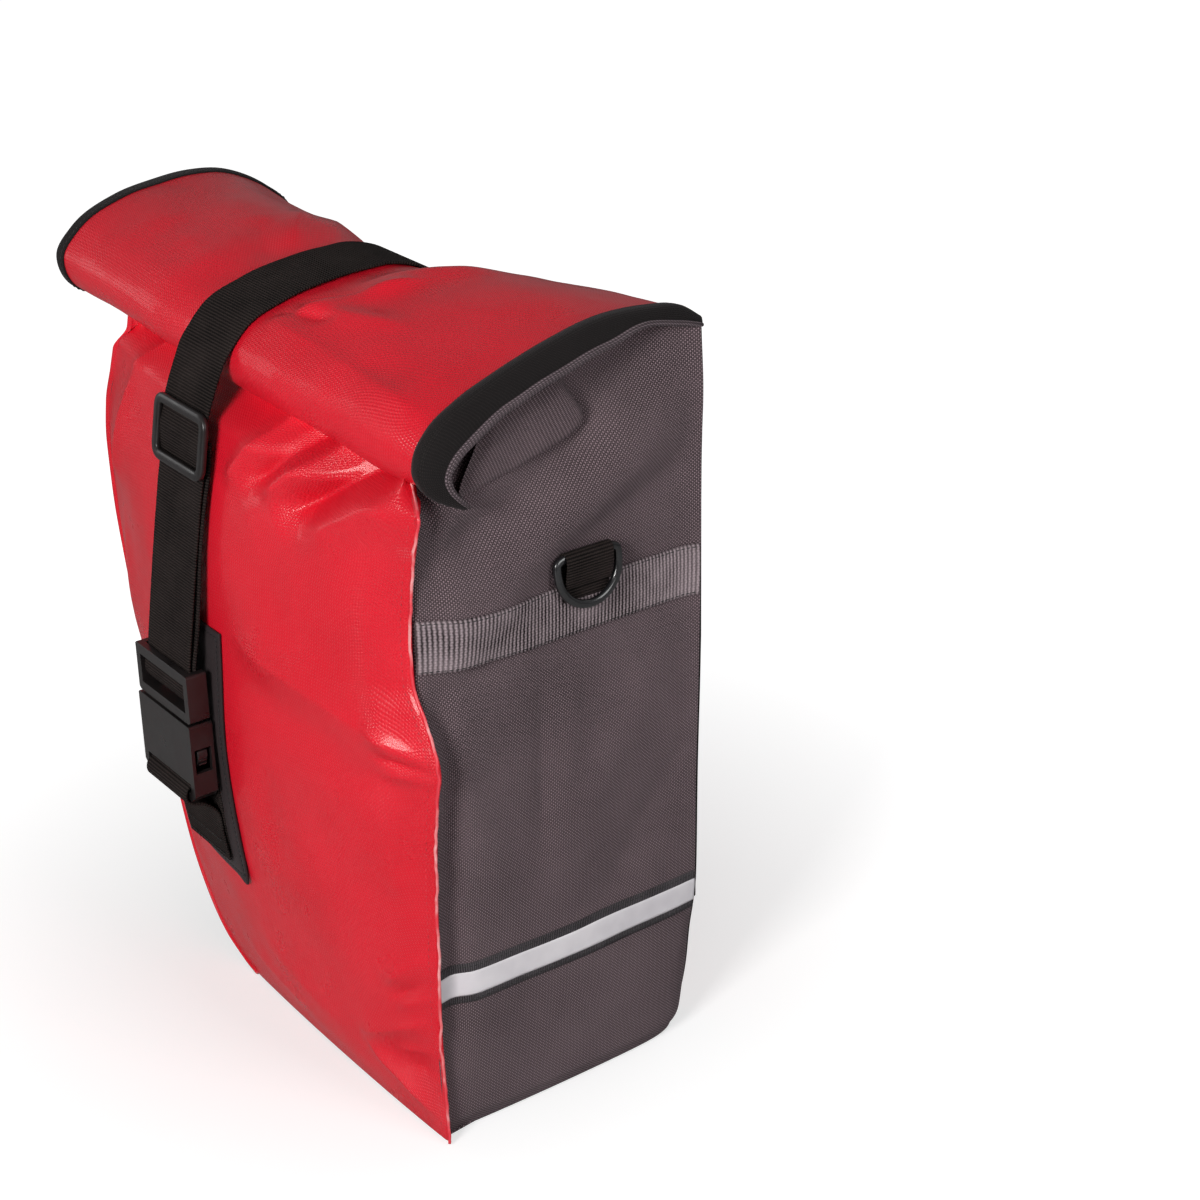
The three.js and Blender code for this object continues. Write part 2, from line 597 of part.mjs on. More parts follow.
// ---------------------------------------------------------------- closure strap, back
// its lower end is turned round a steel ring
function backStrapAndRing() {
  const wire = 1.7, tilt = 0.1, turnR = wire + PIN_CLEARANCE + WEB / 2;
  const y = OVER_BAND + WEB / 2, tailY = y + WEB + 0.5;
  const ringY = y + 3.3, ringZ = 136;
  const path = [
    [y, 431.5], [y, 300], [y, 160], [ringY - turnR, ringZ + 5],
    ...arc(ringY, ringZ, turnR, 180, 360, 6),
    [ringY + turnR, ringZ + 6], [tailY, ringZ + 16], [tailY, ringZ + 34],
  ];
  add('back_strap', ribbon(path, WEB, STRAP_SPAN), 'webbing_black');
  const ring = dOutline(27, 18.5).map(([a, b]) => [STRAP_X + a, ringY - b * tilt, ringZ + b]);
  add('back_strap_ring', loopTube(ring, [0, 1, tilt], wire), 'steel_nickel');
}
backStrapAndRing();

// ---------------------------------------------------------------- carrying handle
// bowed out between two sewn tabs
function carryHandle() {
  const centre = -10, zs = [319, 347], sewnY = BACK_FACE + WEB / 2 + 0.1;
  const halfSpan = 70, endY = 98.4, bow = 20;
  for (const [side, sign] of SIDES) {
    const path = [[104, sewnY], [84, sewnY], [77, 93.2], [71.5, 97.2]]
      .map(([a, y]) => [centre + sign * a, y]);
    add('handle_tab_' + side, ribbon(path, WEB, zs, IN_XY), 'webbing_black');
  }
  const path = [];
  for (let i = -8; i <= 8; i++) {
    const a = i / 8;
    path.push([centre + a * halfSpan, endY + bow * (1 - Math.pow(Math.abs(a), 2.2))]);
  }
  add('carry_handle', ribbon(path, WEB, zs, IN_XY), 'webbing_black');
}
carryHandle();

// ---------------------------------------------------------------- rail hooks and straps
const HOOK_SEAT_Z = 300;
// hook profile as (y from the back band, z from the seat)
const HOOK_PROFILE = [
  [0, -38], [4, -38], [4, 0], [17.5, 0], [17.5, -26],
  [19.5, -28], [21.8, -26], [21.8, 7], [18.5, 11], [0, 13],
].map(([y, z]) => [OVER_BAND + y, HOOK_SEAT_Z + z]);

for (const [side, x] of [['left', -136], ['right', 130]]) {
  add('rail_hook_' + side, plateYZ(HOOK_PROFILE, around(x, 18)), 'plastic_black');
  around(x, 10).forEach((rivetX, i) => {
    const rivet = dome({ x: rivetX, y: OVER_BAND + 4.3, z: 270, radius: 4.2, height: 1.8 });
    add(`rail_hook_rivet_${side}_${i + 1}`, rivet, 'steel_nickel');
  });
}

// hook-and-loop straps, their tails hanging free; path as (y from the sewn end, z)
const RAIL_STRAP_T = 1.6;
const RAIL_STRAP = [
  [0, 290], [0, 303], [2.4, 309], [8, 311.5], [16, 310.5],
  [20, 305], [20.5, 288], [18, 262], [12, 216],
].map(([y, z]) => [OVER_BAND + RAIL_STRAP_T / 2 + y, z]);

for (const [side, x] of [['left', -98], ['right', 90]]) {
  add('rail_strap_' + side, ribbon(RAIL_STRAP, RAIL_STRAP_T, around(x, 12.5)), 'webbing_black');
}

// ---------------------------------------------------------------- lower strap
const LOWER_T = 1.6, LOWER_Z = [90, 110], LOWER_MID_Z = middle(LOWER_Z);
const LOWER_FACE = BACK_FACE + LOWER_T; // outer face of the strap
const FITTING_Y = LOWER_FACE + 0.3;     // where the fittings on it start
const LOWER_TAIL = [[56, 86], [56, 50], [66, 36], [76, 50], [76, 86]]; // x, z

function lowerEyelet() {
  const profile = [[3, 0], [6.5, 0], [6.2, 1.2], [4, 1.8], [3, 1], [3, 0]]; // radius, height
  const ring = new THREE.LatheGeometry(vectors(profile), 14);
  return geometryOf(solid(ring.translate(96, FITTING_Y, LOWER_MID_Z)));
}

function lowerAdjuster() {
  const plate = plateXZ(roundRect([-80, -46], around(LOWER_MID_Z, 16), 4),
    [FITTING_Y, FITTING_Y + 6.6]);
  return geometryOf(cutBoxes(plate, [
    [[-73, -67], [0, 200], grow(LOWER_Z, 1)],
    [[-59, -53], [0, 200], grow(LOWER_Z, 1)],
    [[-90, -30], [BACK_FACE, BACK_FACE + 3.6], grow(LOWER_Z, -2)], // groove along the strap
  ]));
}

// notched over the strap, with a hooked finger below
function lowerHook() {
  const inner = BACK_FACE + 0.5, face = LOWER_FACE;
  const profile = [
    [inner, 110.8], [face + 0.5, 110.8], [face + 0.5, 89.2], [inner, 89.2], [inner, 84],
    [face + 3.5, 52], [face + 10, 42], [face + 20, 42], [face + 26, 50], [face + 26, 66],
    [face + 22, 66], [face + 22, 54], [face + 19, 49.5], [face + 13, 50.5],
    [face + 9.5, 58], [face + 9.5, 108], [face + 6.5, 113], [inner, 113],
  ];
  return geometryOf(solid(plateYZ(profile, [3, 27])));
}

add('lower_strap', box([-151, BACK_BAND_RIGHT], [BACK_FACE, LOWER_FACE], LOWER_Z),
  'webbing_black');
add('lower_strap_rivet',
  dome({ x: -118, y: FITTING_Y, z: LOWER_MID_Z, radius: 6, height: 2.4 }), 'steel_nickel');
add('lower_strap_eyelet', lowerEyelet(), 'steel_nickel');
add('lower_adjuster', lowerAdjuster(), 'plastic_black');
add('lower_strap_tail',
  plateXZ(LOWER_TAIL, [LOWER_FACE + 0.6, LOWER_FACE + 0.6 + LOWER_T]), 'webbing_black');
add('lower_hook', lowerHook(), 'plastic_black');

export default group;
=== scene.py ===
"""A red tarpaulin bag with a rolled top, a front strap and buckle, and hooks on its rack side.

It stands on z = 0. The front panel faces -y and the rack side +y. The heel side, which slants,
is at -x and the straight side at +x. Lengths are in mm until the meshes are written in metres.
"""
import math

import bmesh
import bpy
import numpy as np
from mathutils import Matrix, Vector


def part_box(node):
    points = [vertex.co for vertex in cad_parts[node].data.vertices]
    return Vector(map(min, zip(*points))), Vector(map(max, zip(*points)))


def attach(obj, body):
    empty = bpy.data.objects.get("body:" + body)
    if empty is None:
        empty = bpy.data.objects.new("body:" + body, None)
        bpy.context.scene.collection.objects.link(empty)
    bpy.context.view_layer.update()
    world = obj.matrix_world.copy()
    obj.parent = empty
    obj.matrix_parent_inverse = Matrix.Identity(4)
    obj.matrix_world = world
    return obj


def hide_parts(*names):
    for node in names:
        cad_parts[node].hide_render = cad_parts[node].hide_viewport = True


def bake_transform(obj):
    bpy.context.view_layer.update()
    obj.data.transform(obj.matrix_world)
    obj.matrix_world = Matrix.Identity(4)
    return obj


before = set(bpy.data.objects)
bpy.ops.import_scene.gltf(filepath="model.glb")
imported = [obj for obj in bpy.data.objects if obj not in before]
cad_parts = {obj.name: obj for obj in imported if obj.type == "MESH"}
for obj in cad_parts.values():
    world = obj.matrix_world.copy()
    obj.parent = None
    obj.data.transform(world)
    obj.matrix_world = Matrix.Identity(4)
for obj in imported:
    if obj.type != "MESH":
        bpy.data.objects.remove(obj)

MM = 0.001
HALF_DEPTH = 88.0            # the front and back panels lie at -y and +y
BOTTOM = 0.3                 # lower edge of the standing panels
STRAP_X, STRAP_W = -11.0, 48.0   # the closure strap's middle and width
BAND_Z = 300.5               # middle of the band round the bag


# ------------------------------------------------------------------ curves and fields
def ease(share):
    """Smooth step from 0 to 1."""
    share = np.clip(share, 0, 1)
    return share * share * (3 - 2 * share)


def bell(value, centre, width):
    return np.exp(-((value - centre) / width) ** 2)


def unit(vectors):
    return vectors / np.linalg.norm(vectors, axis=-1, keepdims=True)


def path_length(path):
    """Distance travelled at each point of a path."""
    return np.r_[0, np.cumsum(np.linalg.norm(np.diff(path, axis=0), axis=1))]


def along(path, lengths, at):
    """The path's points at the distances `at`."""
    return np.stack([np.interp(at, lengths, column) for column in path.T], -1)


def loop_tangents(path):
    return unit(np.roll(path, -1, 0) - np.roll(path, 1, 0))


def spread(count, crowding):
    """0..1 in `count` steps, closer together at both ends as crowding grows."""
    even = np.linspace(0, 1, count)
    return (1 - crowding) * even + crowding * (0.5 - 0.5 * np.cos(np.pi * even))


def smooth_table(points, at):
    """Smooth interpolation through (key, value) pairs, held level beyond the ends."""
    keys, values = np.array(sorted(points), float).T
    at = np.clip(np.asarray(at, float), keys[0], keys[-1])
    rates = np.diff(values) / np.diff(keys)
    before, after = rates[:-1], rates[1:]
    slopes = np.zeros(len(keys))
    slopes[1:-1] = np.where(before * after > 0,
                            2 * before * after / (before + after + 1e-12), 0.0)
    slopes[0], slopes[-1] = rates[0], rates[-1]
    i = np.clip(np.searchsorted(keys, at, side="right") - 1, 0, len(keys) - 2)
    gap = keys[i + 1] - keys[i]
    share = (at - keys[i]) / gap
    return (values[i] * (1 + 2 * share) * (1 - share) ** 2
            + slopes[i] * gap * share * (1 - share) ** 2
            + values[i + 1] * share * share * (3 - 2 * share)
            + slopes[i + 1] * gap * share * share * (share - 1))


def smooth_curve(points, count, closed=False):
    """`count` evenly spaced points along a smooth curve through the given ones."""
    knots = np.array(points, float)
    if closed:
        knots = np.vstack([knots[-1:], knots, knots[:2]])
    else:
        knots = np.vstack([2 * knots[0] - knots[1], knots, 2 * knots[-1] - knots[-2]])
    spans = len(knots) - 3
    place = np.linspace(0, spans, spans * 24 + 1)
    i = np.clip(place.astype(int), 0, spans - 1)
    share = (place - i)[:, None]
    before, start, end, after = (knots[i + k] for k in range(4))

    def tangent(first, middle, last):
        """Direction at the middle point, led by its nearer neighbour."""
        near = np.linalg.norm(middle - first, axis=1, keepdims=True) + 1e-9
        far = np.linalg.norm(last - middle, axis=1, keepdims=True) + 1e-9
        return ((middle - first) / near * far + (last - middle) / far * near) / (near + far)

    span = np.linalg.norm(end - start, axis=1, keepdims=True)
    leaving = tangent(before, start, end) * span
    arriving = tangent(start, end, after) * span
    curve = ((2 * share**3 - 3 * share**2 + 1) * start
             + (share**3 - 2 * share**2 + share) * leaving
             + (-2 * share**3 + 3 * share**2) * end + (share**3 - share**2) * arriving)
    lengths = path_length(curve)
    even = along(curve, lengths, np.linspace(0, lengths[-1], count + 1 if closed else count))
    return even[:-1] if closed else even


def waves(x, y, seed, scale):
    """Soft seeded undulation, about -1..1, features about `scale` mm across."""
    rng = np.random.RandomState(seed)
    count, octaves = 14, 0.6
    total = np.zeros(np.broadcast(x, y).shape)
    for _ in range(count):
        angle = rng.uniform(0, 2 * math.pi)
        rate = 2 * math.pi / (scale * math.exp(rng.uniform(-octaves, octaves)))
        phase = rng.uniform(0, 2 * math.pi)
        total = total + np.sin(rate * (np.cos(angle) * x + np.sin(angle) * y) + phase)
    return total / math.sqrt(count) * 0.75


def crease(x, z, x0, z0, x1, z1, width, height, sharp, taper=0.35, side=0.0):
    """A fold from (x0, z0) to (x1, z1) on a chart: its height at the crest, its width to each
    side, 0..1 sharpness, the share of its length over which it fades in, and a widened side."""
    start = np.array((x0, z0), float)
    run = np.array((x1, z1), float) - start
    length = np.linalg.norm(run)
    share = ((x - start[0]) * run[0] + (z - start[1]) * run[1]) / length**2
    off = ((x - start[0]) * -run[1] + (z - start[1]) * run[0]) / length
    reach = np.abs(off) / (width * np.where(off * side > 0, 1 + abs(side), 1.0))
    fade = np.clip(share / taper, 0, 1) * np.clip((1 - share) / taper, 0, 1)
    profile = np.exp(-reach**2) * (1 - sharp) + sharp * np.exp(-1.5 * reach)
    return height * profile * ease(fade)


def creases(x, z, table):
    return sum(crease(x, z, *row) for row in table)


# ------------------------------------------------------------------ meshes
def link(ob):
    bpy.context.scene.collection.objects.link(ob)
    return ob


def shade_smooth(ob):
    ob.data.polygons.foreach_set("use_smooth", [True] * len(ob.data.polygons))


def edit_mesh(ob, operation):
    """Runs operation on an editable copy of ob's mesh and writes it back."""
    work = bmesh.new()
    work.from_mesh(ob.data)
    operation(work)
    work.to_mesh(ob.data)
    work.free()


def face_outward(ob):
    edit_mesh(ob, lambda work: bmesh.ops.recalc_face_normals(work, faces=work.faces))
    shade_smooth(ob)
    return ob


def mesh_object(name, points, faces, uv=None):
    """A smooth mesh from points in mm; uv is one chart place per point."""
    mesh = bpy.data.meshes.new(name)
    places = [tuple(point) for point in np.asarray(points, float) * MM]
    mesh.from_pydata(places, [], [tuple(int(i) for i in face) for face in faces])
    if uv is not None:
        layer = mesh.uv_layers.new(name="UVMap")
        corners = np.zeros(len(mesh.loops), np.int32)
        mesh.loops.foreach_get("vertex_index", corners)
        layer.data.foreach_set("uv", np.asarray(uv, np.float32)[corners].ravel())
    mesh.validate()
    mesh.polygons.foreach_set("use_smooth", [True] * len(mesh.polygons))
    mesh.update()
    return link(bpy.data.objects.new(name, mesh))


def arc_chart(points):
    """Arc-length chart of a grid of points, in mm."""
    down = np.linalg.norm(np.diff(points, axis=0), axis=2)
    across = np.linalg.norm(np.diff(points, axis=1), axis=2)
    return np.stack([np.vstack([np.zeros((1, points.shape[1])), np.cumsum(down, 0)]),
                     np.hstack([np.zeros((points.shape[0], 1)), np.cumsum(across, 1)])], 2)


def grid(name, points, uv=None, closed=False, flip=False, thick=None):
    """A sheet from points (rows, columns, 3); closed joins the last column to the first, and
    thick gives it a back face that far behind its normal."""
    if uv is None:
        uv = arc_chart(points)
    if closed:
        points = np.concatenate([points, points[:, :1]], 1)
        step = np.linalg.norm(points[:, -1] - points[:, -2], axis=1)
        uv = np.concatenate([uv, (uv[:, -1] + np.stack([0 * step, step], 1))[:, None]], 1)
    rows, columns = points.shape[:2]
    index = np.arange(rows * columns).reshape(rows, columns)
    corners = [index[:-1, :-1], index[1:, :-1], index[1:, 1:], index[:-1, 1:]]
    if flip:
        corners = [corners[k] for k in (0, 3, 2, 1)]
    faces = np.stack(corners, -1).reshape(-1, 4)
    ob = mesh_object(name, points.reshape(-1, 3), faces, uv.reshape(-1, 2))
    if closed:
        edit_mesh(ob, lambda work: bmesh.ops.remove_doubles(work, verts=work.verts, dist=1e-6))
        shade_smooth(ob)
    if thick:
        solid = ob.modifiers.new("thick", "SOLIDIFY")
        solid.thickness = thick * MM
        solid.offset = -1
        solid.use_even_offset = False
    return ob


def ring_quads(rings, count, closed=False):
    """Quads between successive rings of `count` points; closed joins the last to the first."""
    index = np.arange(rings * count).reshape(rings, count)
    following = np.roll(index, -1, 0)
    corners = [index, following, np.roll(following, -1, 1), np.roll(index, -1, 1)]
    quads = np.stack(corners, -1)
    return (quads if closed else quads[:-1]).reshape(-1, 4)


def capped_faces(rings, count):
    """Faces of a stack of rings with a flat cap at each end."""
    first = list(range(count))
    last = [(rings - 1) * count + i for i in first]
    return ring_quads(rings, count)[:, [0, 3, 2, 1]].tolist() + [first[::-1], last]


def sweep(name, path, section, across, normal, closed=False, scale=None):
    """Sweeps a closed section of (across, normal) offsets along a path."""
    rings, count = len(path), len(section)
    sections = np.broadcast_to(section, (rings,) + section.shape)
    if scale is not None:
        sections = sections * scale.reshape(rings, 1, -1)
    points = (path[:, None] + sections[:, :, :1] * across[:, None]
              + sections[:, :, 1:2] * normal[:, None])
    uv = np.stack([np.broadcast_to(path_length(sections[rings // 2]), (rings, count)),
                   np.broadcast_to(path_length(path)[:, None], (rings, count))], 2)
    faces = ring_quads(rings, count, closed).tolist()
    if not closed:
        start = list(range(count))
        faces += [start, [(rings - 1) * count + i for i in start[::-1]]]
    return face_outward(mesh_object(name, points.reshape(-1, 3), faces, uv.reshape(-1, 2)))


def rounded_section(half_width, half_height, power, count):
    """A superellipse: power 1 is an ellipse, less is squarer."""
    angles = np.arange(count) * 2 * math.pi / count
    cos, sin = np.cos(angles), np.sin(angles)
    return np.stack([half_width * np.sign(cos) * np.abs(cos) ** power,
                     half_height * np.sign(sin) * np.abs(sin) ** power], 1)


def web_section(width, thick):
    """A webbing cross-section: flat faces, rounded selvedges."""
    flat = width / 2 - thick * 0.5
    angles = np.linspace(0.5, math.pi - 0.5, 4)
    top = [(x, thick / 2) for x in np.linspace(-flat, flat, 12)]
    right = [(flat + thick * 0.5 * math.sin(q), thick / 2 * math.cos(q)) for q in angles]
    under = [(x, -thick / 2) for x in np.linspace(flat, -flat, 12)]
    left = [(-x, -z) for x, z in right]
    return np.array(top + right + under + left)


def strap(name, path, across, width, thick, step=None, scale=None):
    """Webbing with its width along `across`; step smooths the path and spaces its rings."""
    path = np.asarray(path, float)
    if step:
        path = smooth_curve(path, max(4, int(path_length(path)[-1] / step) + 1))
    tangent = unit(np.gradient(path, axis=0))
    across = np.broadcast_to(np.asarray(across, float), path.shape)
    across = unit(across - np.sum(across * tangent, axis=1, keepdims=True) * tangent)
    section = web_section(width, thick)
    return sweep(name, path, section, across, np.cross(tangent, across), scale=scale)


def tube(name, path, radius, count, up, closed=False):
    """A round cord, its section carried along the path without twist."""
    tangent = loop_tangents(path) if closed else unit(np.gradient(path, axis=0))
    normals = [unit(np.cross(tangent[0], np.array(up, float)))]
    for direction in tangent[1:]:
        normals.append(unit(normals[-1] - np.dot(normals[-1], direction) * direction))
    normal = np.array(normals)
    section = rounded_section(radius, radius, 1, count)
    return sweep(name, path, section, np.cross(tangent, normal), normal, closed)


def bake(ob):
    """Applies every modifier on ob."""
    graph = bpy.context.evaluated_depsgraph_get()
    graph.update()
    mesh = bpy.data.meshes.new_from_object(ob.evaluated_get(graph), depsgraph=graph)
    ob.modifiers.clear()
    old = ob.data
    ob.data = mesh
    if old.users == 0:
        bpy.data.meshes.remove(old)


def round_edges(ob, width, segments, angle):
    """Merges flats, bevels edges sharper than angle (degrees) and evens the shading."""
    def merge_flats(work):
        bmesh.ops.remove_doubles(work, verts=work.verts, dist=2e-6)
        bmesh.ops.dissolve_limit(work, angle_limit=math.radians(1.5),
                                 verts=work.verts, edges=work.edges)

    edit_mesh(ob, merge_flats)
    bevel = ob.modifiers.new("bevel", "BEVEL")
    bevel.width = width * MM
    bevel.segments = segments
    bevel.limit_method = "ANGLE"
    bevel.angle_limit = math.radians(angle)
    bevel.harden_normals = False
    bake(ob)
    shade_smooth(ob)
    weighted = ob.modifiers.new("wn", "WEIGHTED_NORMAL")
    weighted.keep_sharp = True
    weighted.weight = 80
    bake(ob)


def rounded_rectangle(half_width, half_height, radius, steps):
    """Counter-clockwise from the right of the upper right corner; steps + 1 points a corner."""
    x, z = half_width - radius, half_height - radius
    points = []
    for i, (corner_x, corner_z) in enumerate(((x, z), (-x, z), (-x, -z), (x, -z))):
        for k in range(steps + 1):
            angle = math.radians(90 * i + 90 / steps * k)
            points.append((corner_x + radius * math.cos(angle),
                           corner_z + radius * math.sin(angle)))
    return np.array(points)


# ------------------------------------------------------------------ materials, charts in mm
class NodeTree:
    """Short ways to add and join nodes."""

    def __init__(self, tree):
        self.tree = tree

    def node(self, kind, **settings):
        node = self.tree.nodes.new("ShaderNode" + kind)
        for key, value in settings.items():
            setattr(node, key, value)
        return node

    def put(self, socket, value):
        """Links a socket to another, or sets its value."""
        if isinstance(value, bpy.types.NodeSocket):
            self.tree.links.new(value, socket)
        elif isinstance(value, tuple) and len(value) == 3 and socket.type == "RGBA":
            socket.default_value = (*value, 1.0)
        else:
            socket.default_value = value


class Shader(NodeTree):
    """A material with one Principled node; distances and noise scales are in metres."""

    def __init__(self, name):
        self.material = bpy.data.materials.new(name)
        self.material.use_nodes = True
        super().__init__(self.material.node_tree)
        self.tree.nodes.clear()
        output = self.node("OutputMaterial")
        self.principled = self.node("BsdfPrincipled")
        self.put(output.inputs[0], self.principled.outputs[0])
        self.position = self.node("TexCoord").outputs["Object"]

    def math(self, operation, first, second=0.0, third=None):
        node = self.node("Math", operation=operation)
        self.put(node.inputs[0], first)
        self.put(node.inputs[1], second)
        if third is not None:
            self.put(node.inputs[2], third)
        return node.outputs[0]

    def times(self, first, second):
        return self.math("MULTIPLY", first, second)

    def wave(self, value, period):
        return self.math("SINE", self.times(value, 2 * math.pi / period))

    def chart(self):
        """The two coordinates of the UV chart."""
        chart = self.node("UVMap")
        split = self.node("SeparateXYZ")
        self.put(split.inputs[0], chart.outputs[0])
        return split.outputs[0], split.outputs[1]

    def noise(self, scale, detail=2.0, rough=0.5, distort=0.0):
        node = self.node("TexNoise")
        values = {"Scale": scale, "Detail": detail, "Roughness": rough, "Distortion": distort,
                  "Vector": self.position}
        for key, value in values.items():
            self.put(node.inputs[key], value)
        return node.outputs[0]

    def remap(self, value, span, out=(0, 1)):
        """Maps span on to out, clamped."""
        node = self.node("MapRange", clamp=True)
        for socket, number in zip(node.inputs, (value, *span, *out)):
            self.put(socket, number)
        return node.outputs[0]

    def mix(self, factor, low, high):
        node = self.node("Mix", data_type="RGBA", blend_type="MIX")
        self.put(node.inputs[0], factor)
        self.put(node.inputs[6], low)
        self.put(node.inputs[7], high)
        return node.outputs[2]

    def bump(self, height, distance, strength, normal=None):
        node = self.node("Bump")
        self.put(node.inputs["Strength"], strength)
        self.put(node.inputs["Distance"], distance)
        self.put(node.inputs["Height"], height)
        if normal is not None:
            self.put(node.inputs["Normal"], normal)
        return node.outputs[0]

    def surface(self, **values):
        """Sets the Principled node's inputs and returns the material."""
        for key, value in values.items():
            self.put(self.principled.inputs[key.replace("_", " ")], value)
        return self.material

    def weave(self, yarn):
        """Plain weave: height 0..1, and +1 or -1 for the yarn that is on top."""
        across, upward = self.chart()
        wave_a, wave_b = self.wave(across, 2 * yarn), self.wave(upward, 2 * yarn)
        high_a, high_b = self.math("ABSOLUTE", wave_a), self.math("ABSOLUTE", wave_b)
        over = self.math("SIGN", self.times(wave_a, wave_b))

        def thread(own, other, half):
            lift = self.math("MULTIPLY_ADD", self.times(over, other), half, 0.5)
            return self.times(own, lift)

        warp = thread(high_a, high_b, half=0.5)
        weft = thread(high_b, high_a, half=-0.5)
        return self.math("MAXIMUM", warp, weft), over


def red_tarpaulin():
    """Gloss film over a square scrim that shows through as fine raised cells."""
    scrim = 1.9
    shader = Shader("red_tarpaulin")
    across, upward = shader.chart()
    soft = shader.noise(scale=14, detail=3)
    wave_a, wave_b = shader.wave(across, period=scrim), shader.wave(upward, period=scrim)
    # squares where the threads cross, plus a weaker ridge along each thread (0.45 and 0.25)
    ridges = shader.math("MULTIPLY_ADD", wave_b, 0.25, shader.times(wave_a, 0.45))
    cell = shader.math("ADD", shader.times(wave_a, wave_b), ridges)
    patchy = shader.remap(shader.noise(scale=16), span=(0.35, 0.65), out=(0.55, 1.0))
    height = shader.times(cell, patchy)
    fine = shader.noise(scale=900, rough=0.6)
    grain = shader.bump(fine, distance=0.00004, strength=0.4)
    color = shader.mix(shader.remap(soft, span=(0.35, 0.65)),
                       low=(0.66, 0.008, 0.022), high=(0.74, 0.011, 0.028))
    # painted shade: the base colour darkens in the hollows between the scrim's raised cells
    hollow_shade = shader.remap(cell, span=(-0.3, -1.2), out=(0.0, 0.45))
    return shader.surface(
        Base_Color=shader.mix(hollow_shade, low=color, high=(0.42, 0.004, 0.012)),
        Roughness=shader.remap(shader.noise(scale=30, detail=3), (0.35, 0.7), out=(0.27, 0.36)),
        Normal=shader.bump(height, distance=0.00016, strength=0.9, normal=grain),
        Specular_IOR_Level=0.32, Coat_Weight=0.16,
        Coat_Roughness=shader.remap(shader.noise(scale=45), (0.35, 0.7), out=(0.10, 0.20)))


def tarpaulin_edge():
    """Cut edge of the tarpaulin: pinkish red, with pale patches that are partly the paler cut edge
    and partly painted highlights.
    """
    shader = Shader("tarpaulin_edge")
    # pale patches: partly the paler cut edge, partly painted highlights along the rim
    pale = shader.times(
        shader.remap(shader.noise(scale=38, detail=3), span=(0.46, 0.66), out=(0.0, 1.0)),
        shader.remap(shader.noise(scale=260, detail=3), span=(0.35, 0.65), out=(0.4, 1.0)))
    return shader.surface(
        Base_Color=shader.mix(pale, low=(0.72, 0.035, 0.055), high=(0.86, 0.50, 0.50)),
        Roughness=0.38, Coat_Weight=0.2,
        Normal=shader.bump(shader.noise(scale=700), distance=0.0001, strength=0.5))


def woven(name, dark, light, yarn, depth, rough=0.86):
    """Plain-woven cloth; yarn is the pitch in mm and depth its relief in metres."""
    shader = Shader(name)
    height, over = shader.weave(yarn)
    mottle = shader.noise(scale=18, detail=3)
    fibre = shader.remap(shader.noise(scale=2600), span=(0.3, 0.7), out=(0.75, 1.15))
    relief = shader.times(height, fibre)
    # painted highlight and shade: thread tops lighter, the gaps between threads darker; one yarn
    # direction is also kept lighter in tone than the other
    lit = shader.times(relief, shader.remap(over, span=(-1.0, 1.0), out=(0.44, 1.0)))
    color = shader.mix(shader.remap(lit, span=(0.12, 0.95)), low=dark, high=light)
    color = shader.mix(shader.remap(mottle, span=(0.35, 0.7), out=(0.0, 0.10)),
                       low=color, high=tuple(c * 1.2 for c in light))
    return shader.surface(
        Base_Color=color, Roughness=rough, Specular_IOR_Level=0.16, Sheen_Weight=0.06,
        Sheen_Roughness=0.45, Sheen_Tint=(0.85, 0.8, 0.84),
        Normal=shader.bump(relief, distance=depth, strength=0.9))


def ribbed(name, dark, light, rib, column, depth=0.0009):
    """Webbing: ribs across the width, columns along it; depth is the relief in metres."""
    shader = Shader(name)
    across, lengthwise = shader.chart()
    # each column shifts the ribs a little: 0.05 of a wave, 6 times over, in radians
    wobble = shader.times(shader.times(shader.wave(across, period=column), 0.05), 6.0)
    phase = shader.math("ADD", shader.times(lengthwise, 2 * math.pi / rib), wobble)
    ribs = shader.math("MULTIPLY_ADD", shader.math("SINE", phase), 0.5, 0.5)
    columns = shader.math("MULTIPLY_ADD", shader.wave(across, column * 0.5), 0.16, 0.84)
    height = shader.times(shader.math("POWER", ribs, 0.7), columns)
    fibre = shader.remap(shader.noise(scale=2300), span=(0.3, 0.7), out=(0.7, 1.2))
    relief = shader.times(height, fibre)
    # painted highlight and shade: rib tops lighter, the grooves between ribs darker
    color = shader.mix(shader.remap(relief, span=(0.15, 1.0)), low=dark, high=light)
    worn = shader.remap(shader.noise(scale=40, detail=3), span=(0.35, 0.7), out=(0, 0.25))
    return shader.surface(
        Base_Color=shader.mix(worn, low=color, high=tuple(c * 1.5 for c in light)),
        Roughness=0.85, Specular_IOR_Level=0.10, Sheen_Roughness=0.4,
        Normal=shader.bump(relief, distance=depth, strength=0.9))


def hook_and_loop():
    """Matted pile."""
    shader = Shader("hook_and_loop")
    pile = shader.noise(scale=1500, detail=4, rough=0.7, distort=1.0)
    return shader.surface(
        Base_Color=shader.mix(shader.remap(pile, span=(0.35, 0.7)),
                              low=(0.006, 0.005, 0.006), high=(0.05, 0.046, 0.05)),
        Roughness=0.95, Sheen_Weight=0.5,
        Normal=shader.bump(pile, distance=0.0008, strength=0.9))


def plain(name, color, rough, grain=0.0002, scale=1800, coat=0.0, specular=0.5):
    """One color, a quarter lighter and darker in patches, over a fine grain."""
    shader = Shader(name)
    fine = shader.noise(scale, detail=3)
    patches = shader.noise(scale=60, detail=3)
    return shader.surface(
        Base_Color=shader.mix(shader.remap(patches, span=(0.35, 0.65)),
                              low=tuple(c * 0.75 for c in color),
                              high=tuple(min(1, c * 1.25) for c in color)),
        Roughness=shader.remap(patches, span=(0.35, 0.65),
                               out=(rough * 0.85, min(1, rough * 1.18))),
        Normal=shader.bump(fine, distance=grain, strength=0.5),
        Coat_Weight=coat, Specular_IOR_Level=specular)


